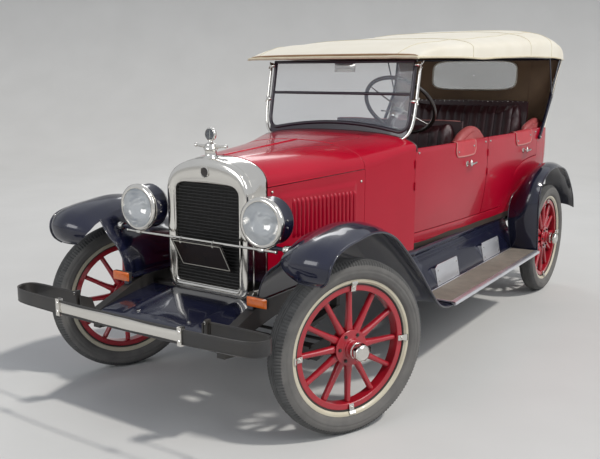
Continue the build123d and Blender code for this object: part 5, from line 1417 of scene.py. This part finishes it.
# The photo's camera: place in millimetres, turns in degrees, and its focal length for a picture 600 wide
CAMERA_AT, CAMERA_TURNS = (2285.1, -2814.8, 1540.0), (-33.3, -11.1, 0.2)
FOCAL, PICTURE, SENSOR, CLIP_END = 768.7, 600, 36.0, 200


def placed(name, data):
    ob = bpy.data.objects.new(name, data)
    bpy.context.scene.collection.objects.link(ob)
    return ob


def studio_floor():
    me = bpy.data.meshes.new("studio_floor")
    rows = [(FLOOR_NEAR, 0.0), (FLOOR_FAR, 0.0)]
    rows += [(FLOOR_FAR + SWEEP * math.sin(t), SWEEP * (1 - math.cos(t))) for t in np.linspace(0.1, QUARTER, 14)]
    rows += [(FLOOR_FAR + SWEEP, WALL)]
    me.from_pydata([(x, y, z) for y, z in rows for x in (-FLOOR_HALF, FLOOR_HALF)], [],
                   [(2 * i, 2 * i + 1, 2 * i + 3, 2 * i + 2) for i in range(len(rows) - 1)])
    for f in me.polygons:
        f.use_smooth = True
    me.materials.append(material("studio_floor", (0.62, 0.62, 0.61), (0.58, 0.58, 0.57), rough=0.75, scale=1.5))
    ob = placed("studio_floor", me)
    ob.rotation_euler = (0, 0, math.radians(FLOOR_TURN))


def lamps():
    for name, kind, place, aim, strength, size, colour in LAMPS:
        data = bpy.data.lights.new(name, kind)
        data.energy, data.color = strength, colour
        if kind == "AREA":
            data.shape, data.size, data.size_y = "RECTANGLE", size, size * AREA_SHAPE
        else:
            data.angle = math.radians(SUN_SPREAD)
        ob = placed(name, data)
        ob.location = place
        ob.rotation_euler = (Vector(aim) - Vector(place)).to_track_quat("-Z", "Y").to_euler()


def air():
    """Soft light from all round, and a plain backdrop where the camera, a mirror or glass looks past the floor."""
    world = bpy.data.worlds.new("studio_air")
    bpy.context.scene.world = world
    world.use_nodes = True
    tree = world.node_tree
    tree.nodes.clear()
    link = tree.links.new
    light = add_node(tree, "Background", Color=AIR, Strength=AIR_LIGHT)
    seen = add_node(tree, "Background", Color=BACKDROP, Strength=1.0)
    path, mix = add_node(tree, "LightPath"), add_node(tree, "MixShader")
    shown = path.outputs["Is Camera Ray"]
    for ray in ("Is Glossy Ray", "Is Transmission Ray"):
        either = add_node(tree, "Math")
        either.operation = "MAXIMUM"
        link(shown, either.inputs[0])
        link(path.outputs[ray], either.inputs[1])
        shown = either.outputs[0]
    for k, source in enumerate((shown, light.outputs[0], seen.outputs[0])):
        link(source, mix.inputs[k])
    link(mix.outputs[0], add_node(tree, "OutputWorld").inputs[0])


def camera():
    data = bpy.data.cameras.new("photo_camera")
    data.sensor_fit, data.sensor_width, data.lens = "HORIZONTAL", SENSOR, FOCAL / PICTURE * SENSOR
    data.clip_end = CLIP_END
    yaw, pitch, roll = (math.radians(a) for a in CAMERA_TURNS)
    f = Vector((math.sin(yaw) * math.cos(pitch), math.cos(yaw) * math.cos(pitch), math.sin(pitch)))
    r = f.cross(Vector((0, 0, 1))).normalized()
    u = r.cross(f)
    r, u = r * math.cos(roll) + u * math.sin(roll), u * math.cos(roll) - r * math.sin(roll)
    m = Matrix((r, u, -f)).transposed().to_4x4()
    m.translation = Vector(metres([CAMERA_AT])[0])
    ob = placed("photo_camera", data)
    ob.matrix_world = m
    bpy.context.scene.camera = ob


studio_floor()
lamps()
air()
camera()
bpy.context.scene.view_settings.view_transform = "Standard"
